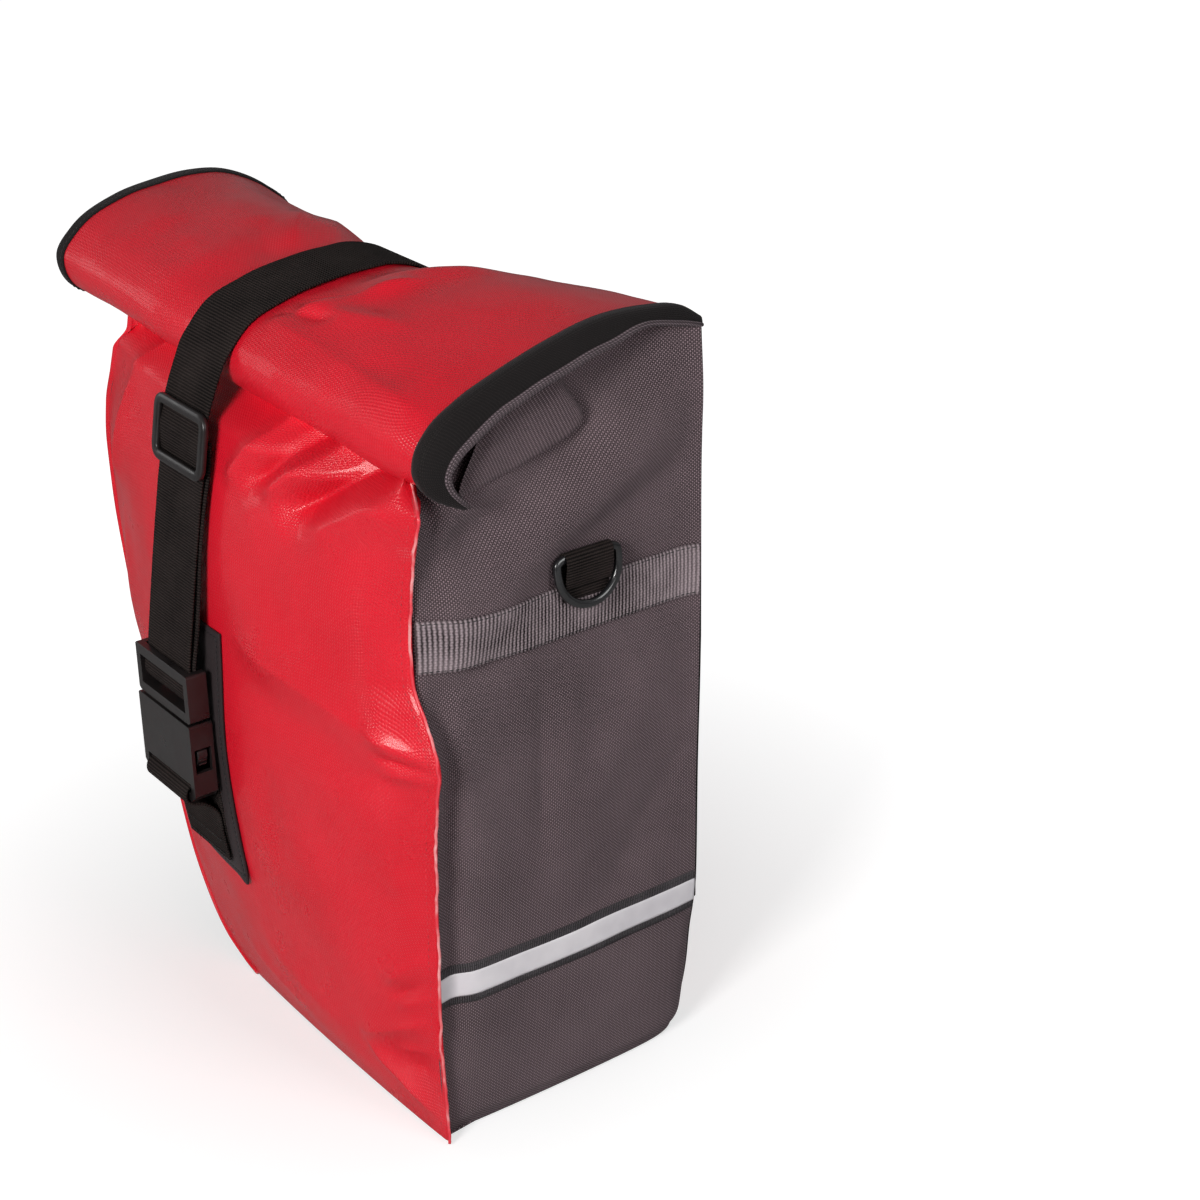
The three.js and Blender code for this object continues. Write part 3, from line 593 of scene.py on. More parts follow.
def steel_nickel():
    shader = Shader("steel_nickel")
    patches = shader.noise(scale=500, detail=4)
    return shader.surface(
        Base_Color=shader.mix(shader.remap(patches, span=(0.35, 0.65)),
                              low=(0.60, 0.585, 0.57), high=(0.78, 0.77, 0.755)),
        Metallic=1.0, Roughness=shader.remap(patches, span=(0.3, 0.7), out=(0.16, 0.32)),
        Normal=shader.bump(shader.noise(scale=1200), distance=0.00003, strength=0.6))


def reflective_tape():
    """Silver film with fine beads."""
    shader = Shader("reflective_tape")
    bead = shader.noise(scale=5200, detail=1)
    patches = shader.noise(scale=35, detail=3)
    return shader.surface(
        Base_Color=shader.mix(shader.remap(patches, span=(0.35, 0.65)),
                              low=(0.60, 0.575, 0.61), high=(0.72, 0.695, 0.725)),
        Roughness=0.42, Specular_IOR_Level=0.6, Coat_Weight=0.15, Coat_Roughness=0.3,
        Normal=shader.bump(bead, distance=0.00006, strength=0.6))


# every look: its material and the product's material slot it belongs to
LOOKS = {
    "red": (red_tarpaulin(), "red_tarpaulin"),
    "edge": (tarpaulin_edge(), "red_tarpaulin"),
    "weave": (woven("woven_polyester", dark=(0.010, 0.007, 0.008), light=(0.33, 0.24, 0.265),
                    yarn=1.0, depth=0.0006), "woven_polyester"),
    "fold": (woven("woven_fold", dark=(0.012, 0.009, 0.010), light=(0.24, 0.185, 0.205),
                   yarn=0.95, depth=0.0003), "woven_polyester"),
    # painted shade: the roll cloth's inner face is made near-black for the shade inside the roll;
    # the cloth itself is the red tarpaulin
    "lining": (woven("roll_inside_shade", dark=(0.012, 0.010, 0.011), light=(0.05, 0.042, 0.045),
                     yarn=1.65, depth=0.0003), "red_tarpaulin"),
    "binding": (woven("edge_binding", dark=(0.004, 0.0033, 0.0033), yarn=0.9,
                      light=(0.022, 0.018, 0.018), depth=0.00022, rough=0.8), "binding_black"),
    "patch": (woven("coated_patch", dark=(0.022, 0.016, 0.017), light=(0.038, 0.029, 0.031),
                    yarn=0.75, depth=0.00012, rough=0.55), "patch_black"),
    "web": (ribbed("webbing_black", dark=(0.0012, 0.0009, 0.0008), light=(0.040, 0.030, 0.028),
                   rib=1.7, column=2.3), "webbing_black"),
    "web_grey": (ribbed("webbing_grey", dark=(0.006, 0.0045, 0.005), light=(0.42, 0.34, 0.365),
                        rib=2.3, column=3.2, depth=0.0008), "webbing_grey"),
    "loop": (hook_and_loop(), "hook_and_loop"),
    "thread_black": (plain("thread_black", color=(0.012, 0.011, 0.012), rough=0.6),
                     "webbing_black"),
    "thread_red": (plain("thread_red", color=(0.55, 0.03, 0.045), rough=0.5), "red_tarpaulin"),
    "plastic": (plain("moulded_plastic", color=(0.011, 0.009, 0.0092), rough=0.32,
                      grain=0.00006, scale=1400, coat=0.1, specular=0.42), "plastic_black"),
    "plastic_gloss": (plain("ring_plastic", color=(0.008, 0.008, 0.009), rough=0.2,
                            grain=0.00003, scale=900, coat=0.3, specular=0.6),
                      "plastic_black"),
    "board": (plain("stiffener_sheet", color=(0.12, 0.12, 0.125), rough=0.6),
              "stiffener_sheet"),
    "steel": (steel_nickel(), "steel_nickel"),
    "tape": (reflective_tape(), "reflective_tape"),
    "tape_margin": (ribbed("tape_margin", dark=(0.02, 0.018, 0.02), light=(0.12, 0.11, 0.118),
                           rib=1.2, column=1.6), "binding_black"),
}


# ------------------------------------------------------------------ dressed pieces
def dress(ob, look, node=None, body=None):
    """Gives ob its look, hides the CAD node it stands for and hangs ob on the body it moves with.
    """
    material, own_slot = LOOKS[look]
    ob.data.materials.clear()
    ob.data.materials.append(material)
    if node:
        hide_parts(node)
    if body:
        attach(ob, body)
    return ob


def refine_cad(node, body, bevel, angle, segments=3, look="plastic", suffix="_moulded"):
    """A finer copy of a CAD part: merged flats, rounded edges."""
    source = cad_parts[node]
    mesh = source.data.copy()
    ob = link(bpy.data.objects.new(node + suffix, mesh))
    ob.matrix_world = source.matrix_world.copy()
    mesh.materials.clear()
    round_edges(ob, bevel, segments, angle)
    dress(ob, look, node, body)


def webbing(node, path, across, width, thick, step=None, scale=None, look="web", body="bag"):
    """The strap that stands for a CAD node."""
    ob = strap(node + "_web", path, across, width, thick, step, scale)
    return dress(ob, look, node, body)


def sew(name, path, up, seed=1, pitch=3.4, length=2.6, radius=0.3, lift=0.0,
        look="thread_black", slot="webbing_black", body="bag"):
    """A line of stitches on a surface whose normal is up, one for all or one a point."""
    lengths = path_length(path)
    up = np.broadcast_to(np.asarray(up, float), path.shape)
    count = max(1, int(lengths[-1] / pitch))
    # each stitch is five rings of six points, sunk and thin at its ends
    radii = np.array([0.15, 0.85, 1.0, 0.85, 0.15]) * radius
    heights = np.array([-0.6, 0.1, 0.35, 0.1, -0.6]) * radius + lift
    angles = (np.arange(6) * math.pi / 3)[:, None]
    stitch = capped_faces(5, 6)
    uv = [(k / 6, i / 4) for i in range(5) for k in range(6)] * count
    rng = np.random.RandomState(seed)
    points, faces = [], []
    for k in range(count):
        middle = (k + 0.5) * lengths[-1] / count
        line = along(path, lengths, middle + np.linspace(-0.5, 0.5, 5) * length)
        normal = unit(along(up, lengths, middle))
        side = np.cross(unit(line[-1] - line[0]), normal)
        slant = rng.uniform(-0.06, 0.06) * (np.arange(5) - 2)
        centres = line + normal * heights[:, None] + side * slant[:, None]
        spokes = np.cos(angles) * side + np.sin(angles) * normal
        rings = centres[:, None] + spokes[None] * radii[:, None, None]
        points.append(rings.reshape(-1, 3))
        faces += [[30 * k + i for i in face] for face in stitch]
    dress(mesh_object(name, np.vstack(points), faces, uv), look, body=body)


def box_and_cross(centre_x, centre_z, width, height):
    """The six lines of a sewn box and its diagonals, the four sides first."""
    half_x, half_z = width / 2, height / 2
    corners = [np.array((centre_x + i * half_x, centre_z + k * half_z))
               for i, k in ((-1, -1), (1, -1), (1, 1), (-1, 1))]
    return [np.array([corners[i] * (1 - share) + corners[k] * share
                      for share in np.linspace(0, 1, 10)])
            for i, k in ((0, 1), (1, 2), (2, 3), (3, 0), (0, 2), (1, 3))]


def level_line(x0, x1, z, count):
    return np.column_stack([np.linspace(x0, x1, count), np.full(count, z)])


def sew_back(name, line, y, seed, pitch=3.2, length=2.4, radius=0.3):
    """Stitches along an (x, z) line on the rack side, at depth y."""
    path = np.column_stack([line[:, 0], 0 * line[:, 0] + y, line[:, 1]])
    sew(name, path, (0, 1, 0), seed, pitch, length, radius)


# ------------------------------------------------------------------ outlines of the bag
# (z, share of the full belly) of the front panel
BULGE = [(0, .06), (25, .34), (50, .52), (100, .78), (150, .93), (200, 1), (250, .94),
         (300, .82), (345, .62), (370, .46), (392, .28), (420, .1)]
# (x, z) of the roll's lip over the front panel
LIP = [(-199, 396), (-110, 394.5), (-11, 390), (95, 387), (184, 383.5)]
# (z, x) of the straight side's seams with the front and with the back panel
FRONT_SEAM = [(0.3, 181.5), (42, 179.6), (70, 178.4), (101, 179.2), (150, 180.6), (194, 183.2),
              (222, 187.0), (236, 190.2), (242, 189.6), (252, 184.5), (264, 178.6),
              (280, 169.4), (300, 168.6), (316, 169.6), (340, 173.0), (366, 179.6), (380, 183),
              (400, 187), (440, 188)]
BACK_SEAM = [(0.3, 161), (8, 164.4), (18, 167.6), (40, 172.4), (65, 175.6), (85, 179.4),
             (105, 181.8), (174, 183.2), (237, 185.4), (304, 187), (379, 188), (408, 189),
             (440, 188)]
# (x, z) of the heel side's seams, downward, with the front and with the back panel
HEEL_FRONT = [(-124, 404), (-128, 392), (-141, 362), (-152, 338), (-157, 310), (-156, 278),
              (-149, 234), (-140, 198), (-125, 149), (-110, 100), (-96, 60), (-80, 33),
              (-60, 13), (-38, 3.4), (-25, 0.3)]
HEEL_BACK = [(-172, 428), (-172, 345), (-171.5, 290), (-170.5, 247), (-167, 177), (-162, 128),
             (-156, 86), (-148.5, 57), (-137, 32), (-120, 12.5), (-100, 3.4), (-86, 0.3)]
# (y, z) of the right gusset's top
GUSSET_TOP = [(-88, 375), (-68, 381.5), (-26, 399), (18, 410), (57, 427), (88, 430)]
# (y, z) of the left gusset's top
HEEL_TOP = [(-88, 379), (-66, 390), (-40, 399), (0, 403), (50, 406), (88, 409)]
# (x, how far the back panel's top leans forward) and (x, z of that top)
BACK_LEAN = [(-172, 22), (-110, 24), (-11, 28), (40, 25), (95, 12), (150, 2), (186, 0)]
BACK_TOP = [(-172, 410), (-110, 406.5), (-11, 406), (40, 411), (95, 424), (150, 435),
            (186, 439)]


def heel_front(z):
    return smooth_table([(b, a) for a, b in HEEL_FRONT], z)


def heel_back(z):
    return smooth_table([(b, a) for a, b in HEEL_BACK], z)


def front_seam(z):
    return smooth_table(FRONT_SEAM, z)


def back_seam(z):
    return smooth_table(BACK_SEAM, z)


def back_top(x):
    return smooth_table(BACK_TOP, x)


def back_y(x, z):
    """The back panel: upright, then leaning forward above z 364."""
    rise = np.clip((np.asarray(z, float) - 364) / (back_top(x) - 364), 0, 1.15)
    return HALF_DEPTH - smooth_table(BACK_LEAN, x) * rise ** 1.7


# ------------------------------------------------------------------ front panel
# rows are crease()'s arguments: x0, z0, x1, z1, width, height, sharp and, if set, taper, side
FRONT_CREASES = [
    # hollows under the roll at the right, fanning down and to the heel, folds between them
    (170, 408, 72, 343, 7.5, -16.0, 0.45, 0.24, 0.5),
    (132, 410, 58, 349, 6.5, 7.0, 0.35, 0.24),
    (100, 400, 38, 348, 6.0, -9.0, 0.45, 0.26),
    (66, 402, 22, 346, 6.5, 4.6, 0.35, 0.26),
    (186, 392, 84, 336, 12, 4.6, 0.15, 0.30),
    (30, 330, 96, 352, 13, 1.8, 0.1),
    # a broad fold from the patch to the gathered seam, the cloth flatter below it
    (26, 268, 196, 243, 15, 5.6, 0.45, 0.26, 0.9),
    (30, 232, 150, 236, 15, -2.2, 0.1),
    (146, 253, 197, 240, 4.5, 3.2, 0.6, 0.30, -0.5),
    (150, 236, 198, 236, 3.6, -4.0, 0.65),
    (152, 226, 196, 232, 4.5, 2.6, 0.5),
    (110, 214, 190, 224, 11, -2.2, 0.15),
    (166, 330, 178, 262, 6, 1.8, 0.3),
    (52, 210, 70, 120, 13, -1.8, 0.1),
    # folds fanning from the lower part of the straight seam
    (112, 42, 186, 81, 6.5, 5.2, 0.75, 0.30, -0.8),
    (118, 46, 190, 4, 7.0, 4.6, 0.6, 0.30),
    (142, 88, 184, 124, 5.5, 3.4, 0.5),
    (146, 80, 184, 108, 4.5, -3.2, 0.5),
    (150, 76, 185, 96, 4.0, 2.4, 0.5),
    (146, 46, 184, 59, 4.0, 2.8, 0.6),
    (150, 36, 185, 45, 4.0, -1.8, 0.6),
    (152, 150, 186, 176, 8.0, 1.6, 0.3, 0.40),
    # the heel side turns away along a soft fold
    (-62, 420, -104, 372, 6.0, 3.4, 0.65, 0.25, 0.6),
    (-92, 388, -136, 286, 6.5, 4.6, 0.65, 0.30, 0.6),
    (-118, 398, -160, 318, 9.0, -3.5, 0.2),
    (-126, 300, -128, 150, 10, 1.6, 0.2, 0.40),
    (-96, 130, -62, 40, 9, 1.5, 0.3, 0.40),
    # slack at the bottom
    (-30, 40, 80, 26, 9, 1.8, 0.3),
    (10, 62, 110, 34, 12, 1.6, 0.2),
]


def front_folds(x, z):
    """Outward displacement of the front panel."""
    depth = 1.3 * waves(x, z, 11, 150) + 0.14 * waves(x, z, 12, 50)
    depth = depth + 0.03 * waves(x, z, 13, 18)
    # calmer behind the buckle patch
    depth = depth * (1 - 0.8 * np.exp(-(((x + 11) / 60) ** 4 + ((z - 180) / 110) ** 4)))
    dent = 5.0 * np.exp(-(((x - 168) / 20) ** 2 + ((z - 46) / 17) ** 2))
    return depth + creases(x, z, FRONT_CREASES) - dent


def front_y(x, z):
    x, z = np.broadcast_arrays(np.asarray(x, float), np.asarray(z, float))
    heel, straight = heel_front(z), front_seam(z)
    middle, half = (heel + straight) / 2, (straight - heel) / 2
    outward = np.clip(np.abs(x - middle) / half, 0, 1)
    # the folds fade towards the seams and the bottom
    fade = (0.22 + 0.78 * ease(np.minimum(x - heel, straight - x) / 26)) * ease(z / 22)
    belly = 33 * smooth_table(BULGE, z) * (1 - outward * outward) ** 0.85
    y = -HALF_DEPTH - belly - front_folds(x, z) * fade
    # drawn in under the roll's lip, less so towards both ends
    pull = 21 * (1 - ease((x - 120) / 60) * 0.75) * (1 - 0.4 * ease((-120 - x) / 50))
    return y + pull * ease((z - smooth_table(LIP, x) + 15) / 19)


def front_normal(x, z):
    step = 1.5
    slope_x = (front_y(x + step, z) - front_y(x - step, z)) / (2 * step)
    slope_z = (front_y(x, z + step) - front_y(x, z - step)) / (2 * step)
    return unit(np.stack([slope_x, -np.ones_like(slope_x), slope_z], -1))


def on_front(x, z):
    x, z = np.broadcast_arrays(np.asarray(x, float), np.asarray(z, float))
    return np.stack([x, front_y(x, z), z], -1)


def make_front():
    top = 404
    z = BOTTOM + (top - BOTTOM) * np.linspace(0, 1, 260) ** 1.12
    heel, straight = heel_front(z), front_seam(z)
    x = heel[None] + (straight - heel)[None] * spread(230, 0.5)[:, None]
    points = on_front(x, np.broadcast_to(z, x.shape))
    points[0, :, 1] = points[-1, :, 1] = -HALF_DEPTH
    # the top corners are tucked in under the roll
    hide = ease((z - 376) / 14)
    tuck = (np.linspace(0, 1, 27)[1:, None] ** 1.3) * hide[None]
    points[-26:, :, 0] -= 28 * tuck
    points[-26:, :, 1] += 12 * tuck
    points[0, :, 1] += 6 * hide
    points[0, :, 0] += 3 * hide
    # seam edges stand out, the straight one cut unevenly
    jag = 0.35 * waves(z, 0 * z, 5, 14) + 0.5 * waves(z, 0 * z, 6, 46)
    right = [points[-1] + (dx, dy, 0) for dx, dy in ((1.0, 0.5), (2.2, -0.1), (3.6, -1.1))]
    right[-1][:, 0] += jag
    right[-1][:, 1] += 0.6 * jag
    left = [points[0] + (dx, dy, 0) for dx, dy in ((-3.4, -1.0), (-2.2, -0.1), (-1.0, 0.5))]
    points = np.concatenate([np.stack(left), points, np.stack(right)], 0)
    ob = dress(grid("front_panel_cloth", points, thick=1.5), "red", "front_panel")
    ob.data.materials.append(LOOKS["edge"][0])
    ob.modifiers["thick"].material_offset_rim = 1
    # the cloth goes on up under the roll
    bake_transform(ob)
    z = np.linspace(8, 372, 240)
    x = front_seam(z) - 3.0
    sew("front_seam_stitches", on_front(x, z), front_normal(x, z), seed=3, pitch=4.2,
        radius=0.28, lift=-0.05, look="thread_red", slot="red_tarpaulin")


# ------------------------------------------------------------------ gussets and base
# y0, z0, y1, z1, width, height, sharp and, if set, taper
GUSSET_CREASES = [
    (-86, 340, 44, 402, 14, -10.0, 0.15, 0.28), (-92, 292, 98, 408, 18, 6.0, 0.1, 0.30),
    (-40, 318, 98, 372, 13, -3.4, 0.1), (-92, 262, -20, 300, 10, -3.4, 0.15, 0.4),
    (-14, 292, -20, 120, 6, -1.9, 0.4), (8, 286, -6, 150, 7, 1.7, 0.3, 0.4),
    (96, 300, -30, 118, 19, 3.4, 0.1), (96, 214, 6, 90, 14, -2.6, 0.1),
    (-76, 250, -34, 118, 12, 2.4, 0.1), (-20, 60, 70, 20, 13, 1.3, 0.0),
]
HEEL_CREASES = [(-80, 350, 60, 400, 14, 4, 0.1), (-86, 240, 90, 120, 24, -1.2, 0.0)]


def gusset_x(y, z):
    """The right gusset's surface."""
    y, z = np.broadcast_arrays(np.asarray(y, float), np.asarray(z, float))
    share = (y + 88) / 176
    seams = front_seam(z) * (1 - share) + back_seam(z) * share
    # pulls of the seams die out quickly inside the panel
    flat = 181.5 + 1.5 * np.sin(np.pi * np.clip(share, 0, 1)) + 2.5 * ease((z - 260) / 120) * share
    pull = np.exp(-np.minimum(share, 1 - share) * 176 / 9.0)
    x = seams * pull + flat * (1 - pull)
    folds = 0.8 * waves(y, z, 21, 110) + 0.12 * waves(y, z, 22, 40)
    folds = folds + creases(y, z, GUSSET_CREASES)
    inside = ease(np.minimum(y + 88, 88 - y) / 16)
    x = x + folds * (0.15 + 0.85 * inside) * ease(z / 18)
    # a groove beside the front seam
    x = x - 4.2 * bell(y, -77, 8) * ease((z - 20) / 60) * (1 - 0.5 * bell(z, 300, 30))
    # turned under at the lower edge
    x = x - 5.0 * (1 - ease(z / 16)) ** 2
    # drawn in under the roll
    start = 352 + 0.23 * (y + 88)
    lean = 4 + 11 * (1 - ease((y - 40) / 40))
    rise = ease((z - start) / (smooth_table(GUSSET_TOP, y) + 8 - start))
    ends = (1 - 0.8 * ease((y - 76) / 12)) * (0.35 + 0.65 * ease((y + 88) / 18))
    return x - lean * rise * ends


def make_right_gusset():
    side = -88 + 176 * spread(130, 0.4)
    into_roll = (14 * (1 - ease((side - 60) / 28)) + 8) * ease((side + 84) / 26)
    top = smooth_table(GUSSET_TOP, side) + into_roll
    z = BOTTOM + (top[:, None] - BOTTOM) * np.linspace(0, 1, 250)[None]
    y = np.broadcast_to(side[:, None], z.shape)
    points = np.stack([gusset_x(y, z), y, z], -1)
    points[0, :, 0] -= 0.8
    ob = grid("right_gusset_cloth", points, uv=np.stack([y, z], -1), thick=1.6)
    dress(ob, "weave", "right_gusset")
    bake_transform(ob)


def make_left_gusset():
    """Ruled between the heel side's two curved seams."""
    front = smooth_curve(HEEL_FRONT[1:], 150)[::-1]
    back = smooth_curve(HEEL_BACK, 150)[::-1]
    share = spread(90, 0.3)
    ruled = (front[None] * (1 - share)[:, None, None] + back[None] * share[:, None, None])
    side = -88 + 176 * share
    x, z = ruled[..., 0], ruled[..., 1]
    y = np.broadcast_to(side[:, None], x.shape)
    # stretched above z 350 to meet the roll, then leaned forward with the back panel
    highest = z.max(1, keepdims=True)
    top = smooth_table(HEEL_TOP, side)[:, None]
    z = np.where(z > 350, 350 + (z - 350) * (top - 350) / (highest - 350), z)
    y = y - 22 * np.clip((z - 364) / 46, 0, 1.1) ** 1.7 * ease((share - 0.55) / 0.45)[:, None]
    soft = np.sin(np.pi * share)[:, None] * ease(z / 30)
    x = x - soft * (0.8 + 0.7 * waves(y, z, 31, 80)) + creases(y, z, HEEL_CREASES)
    points = np.stack([x, y, z], -1)
    # four more rows run on up into the roll
    inner = ease((side + 84) / 26) * (1 - ease((side - 40) / 48))
    climb = np.stack([7 * inner, 0 * inner, 14 * inner], 1)
    rows = [points[:, -1] + climb * step for step in (0.25, 0.5, 0.75, 1.0)]
    points = np.concatenate([points, np.stack(rows, 1)], 1)
    ob = dress(grid("left_gusset_cloth", points, flip=True, thick=1.6), "weave", "left_gusset")
    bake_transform(ob)


def make_base():
    across, deep = np.linspace(0, 1, 90), np.linspace(0, 1, 60)
    heel = -25 + (-86 + 25) * deep
    straight = 179 + (160 - 179) * deep
    x = heel[None] + (straight - heel)[None] * across[:, None]
    y = np.broadcast_to(-87.4 + 175 * deep, x.shape)
    edge = np.minimum(np.minimum(x - heel[None], straight[None] - x),
                      np.minimum(y + 88, 88 - y))
    z = 0.15 + 1.4 * ease(edge / 20) + 0.4 * waves(x, y, 33, 60) * ease(edge / 20)
    ob = grid("base_cloth", np.stack([x, y, z], -1), flip=True, thick=1.4)
    dress(ob, "weave", "base_panel", "bag")


# ------------------------------------------------------------------ back panel
def make_back():
    top = 439
    level = BOTTOM + (top - BOTTOM) * np.linspace(0, 1, 230) ** 1.05
    heel, straight = heel_back(level), np.minimum(back_seam(level), 186) - 2.2
    x = heel[None] + (straight - heel)[None] * spread(170, 0.4)[:, None]
    z = np.broadcast_to(level, x.shape)
    z = np.where(z > 362, 362 + (z - 362) * (back_top(x) + 1.5 - 362) / (top - 362), z)
    belly = ease(np.minimum(x - heel[None], straight[None] - x) / 40)
    y = HALF_DEPTH - 1.1 * (1 - belly) + 0.25 * waves(x, z, 41, 70) * belly
    # shallow hollows between the straps
    free = (ease(np.abs(z - 300) / 34 - 0.3) * ease(np.abs(z - 100) / 26 - 0.3)
            * ease(np.abs(x + 11) / 44 - 0.4))
    y = y - free * belly * (1.2 + 0.9 * waves(x, z, 42, 55)) * 0.6
    # a raised double layer above the sewn line, and the groove of that line
    y = y + 0.55 * ease((z - 359) / 1.6) * (1 - ease((z - 425) / 10))
    y = y - 0.35 * bell(z, 358.6, 1.6)
    y = y - HALF_DEPTH + back_y(x, z)
    ob = grid("back_panel_cloth", np.stack([x, y, z], -1), flip=True, thick=1.4)
    dress(ob, "red", "back_panel")
    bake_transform(ob)
    sewn_x, sewn_z = np.linspace(-166, 183, 300), 362
    nearest = np.argmin(np.abs(level - sewn_z))
    sewn_y = np.interp(sewn_x, x[:, nearest], y[:, nearest])
    sew("back_panel_stitches", np.stack([sewn_x, sewn_y, sewn_z + 0 * sewn_x], 1), (0, 1, 0),
        seed=7, pitch=3.8, length=2.7, lift=0.05, look="thread_red", slot="red_tarpaulin")


def make_back_piping():
    """A cord down the heel, along the bottom and up the straight edge."""
    heel = smooth_curve(HEEL_BACK, 120)
    heel = heel[(heel[:, 1] < 404) & (heel[:, 1] > 1.5)]
    rise = np.linspace(14, 416, 80)
    straight = np.column_stack([np.minimum(back_seam(rise), 186) - 3.4, rise])
    corner = [(157.5, 1.7), (161.5, 5.0)]
    x, z = np.vstack([heel, level_line(-80, 152, 0.9, 60), corner, straight]).T
    path = smooth_curve(np.column_stack([x, back_y(x, z) + 1.6, z]), 420)
    ob = tube("back_piping_cord", path, radius=1.75, count=10, up=(0, 1, 0.01))
    dress(ob, "binding", "back_piping")
    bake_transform(ob)


# ------------------------------------------------------------------ the roll
# by x: closed sections of (y, z), from the back underneath, round the lip to the back on top;
# the points of all sections match one to one
ROLL = {
    184: [(86, 431), (70, 430.5), (57, 430), (18, 414), (-26, 402.5), (-54, 388), (-66, 382.5),
          (-77, 387), (-82.5, 396), (-81.5, 406), (-74, 417), (-56, 428), (-32, 437),
          (-6, 445), (30, 452), (58, 451), (78, 447), (88.5, 440)],
    140: [(84, 430), (69, 429.5), (55, 429), (18, 413.5), (-26, 402), (-56, 388), (-70, 384.5),
          (-81, 390), (-86, 399), (-85, 410), (-77, 421), (-56, 432), (-31, 440.5), (-4, 447),
          (30, 452.5), (56, 451), (75, 446), (85, 438.5)],
    95: [(75, 422), (62, 421), (50, 420.5), (18, 411), (-26, 402), (-60, 388), (-75, 386.5),
         (-84.5, 392.5), (-89, 402), (-88, 413), (-79, 424.5), (-55, 436), (-30, 443),
         (-2, 449), (26, 451), (46, 448.5), (63, 442), (75, 431)],
    40: [(66, 409), (54, 407), (43, 408), (14, 406), (-26, 402), (-61, 390), (-77, 388.5),
         (-86.5, 394), (-91, 403), (-90.5, 414), (-81, 426), (-56, 437.5), (-31, 444),
         (-6, 448.5), (15, 449.5), (34, 444.5), (51, 434), (64, 419)],
    -11: [(60, 402), (50, 400.5), (40, 402), (12, 403), (-26, 401.5), (-62, 391.5), (-78, 390),
          (-87.5, 395), (-92.5, 403.5), (-92, 414), (-82, 426), (-57, 437), (-32, 443.5),
          (-8, 447.5), (12, 447.5), (29, 442), (45, 430.5), (57, 414.5)],
    -60: [(62, 403), (51, 401.5), (40, 403), (12, 405), (-26, 404), (-62, 393), (-78, 391.5),
          (-87.5, 397), (-92, 405), (-91.5, 416), (-82, 428), (-56, 440), (-31, 446.5),
          (-6, 449), (13, 447), (30, 440), (46, 428.5), (58, 414)],
    -110: [(63, 406), (52, 404.5), (41, 405), (14, 408), (-26, 407), (-62, 396), (-77, 394.5),
           (-86, 399.5), (-90.5, 407.5), (-90.5, 418), (-80.5, 430.5), (-54, 442), (-29, 448),
           (-2, 450), (17, 446.5), (33, 438.5), (48, 427), (59, 415)],
    -155: [(64, 409), (53, 407), (42, 407), (15, 411), (-26, 407.5), (-61, 396.5),
           (-75, 394.5), (-84.5, 399), (-89.5, 407), (-90.5, 418), (-79.5, 431.5), (-52, 444),
           (-27, 449.5), (0, 451), (19, 447.5), (35, 440), (49, 430), (61, 418)],
    -199: [(66, 413), (55, 411), (44, 411), (16, 413), (-26, 407), (-60, 396.5), (-73, 394),
           (-83, 398.5), (-88.5, 406.5), (-90, 418), (-78.5, 432.5), (-50, 446),
           (-25, 450.5), (0, 452), (22, 449), (38, 442.5), (52, 433.5), (64, 422)],
}
# x0, y0, x1, y1, width, height, sharp and, if set, taper
ROLL_CREASES = [
    # cloth springs up beside the strap and runs off in folds
    (19, -82, 70, 10, 9, 5.0, 0.55, 0.30), (24, -58, 110, -34, 9, 3.2, 0.3),
    (34, -76, 150, -66, 10, -2.0, 0.2), (26, -30, 84, 46, 11, 3.4, 0.3),
    (20, -60, 54, -18, 7, -3.2, 0.3), (-42, -20, -104, 26, 9, 3.0, 0.4),
    (-40, 8, -116, 52, 11, 2.8, 0.3), (-38, -40, -96, -8, 9, -2.4, 0.3),
    (-44, -60, -130, -50, 12, 1.8, 0.2), (-120, -70, -190, -20, 16, 1.6, 0.1),
    # a flat facet along the front lip, and a dimple where the strap bites
    (14, -72, 176, -72, 6, 1.7, 0.5, 0.2), (16, -66, 62, -52, 5, -3.4, 0.5),
]


def roll_folds(x, share, y):
    """Outward displacement of the skin; share runs 0..1 round it, about .38 at the lip."""
    upper = ease((share - 0.36) / 0.10)
    depth = 1.0 * waves(x, y, 51, 130) + 0.16 * waves(x, y, 52, 45)
    depth = (depth + 0.03 * waves(x, y, 53, 16)) * (0.4 + 0.6 * upper)
    # cinched by the strap: deeper towards the back
    cinch = 1 - ease((np.abs(x - STRAP_X) - 25) / 44)
    depth = depth - (1.5 + 4.0 * ease((y + 84) / 90)) * cinch * upper
    depth = depth + creases(x, y, ROLL_CREASES) * upper
    depth = depth + crease(x, y, 100, -80, 178, -84, 10, 1.2, 0.2)
    inward = ease((184 - x) / 20) * ease((x + 199) / 16)
    return depth * (0.25 + 0.75 * inward)


def roll_skin(stations, count, offset=0.0, folds=True):
    """Points of the skin (stations, count, 3) and their outward normals."""
    known = sorted(ROLL)
    table = np.array([ROLL[x] for x in known], float)
    share = np.linspace(0, 1, count, endpoint=False)
    controls = np.stack([[smooth_table(list(zip(known, table[:, i, k])), stations)
                          for k in range(2)] for i in range(table.shape[1])])
    points, normals = [], []
    for number, x in enumerate(stations):
        outline = smooth_curve(controls[:, :, number], count, closed=True)
        tangent = loop_tangents(outline)
        normal = np.stack([-tangent[:, 1], tangent[:, 0]], 1)
        depth = np.full(count, float(offset))
        if folds:
            depth += roll_folds(x, share, outline[:, 0])
        outline = outline + normal * depth[:, None]
        points.append(np.column_stack([np.full(count, x), outline]))
        normals.append(np.column_stack([np.zeros(count), normal]))
    return np.array(points), np.array(normals)


def roll_ring(x, offset):
    """One unfolded section of the roll."""
    return roll_skin([x], 120, offset, folds=False)[0][0]


def shrink(ring, keep, x):
    """A ring drawn in towards its own middle and moved to x."""
    small = ring * keep + ring.mean(0) * (1 - keep)
    small[:, 0] = x
    return small


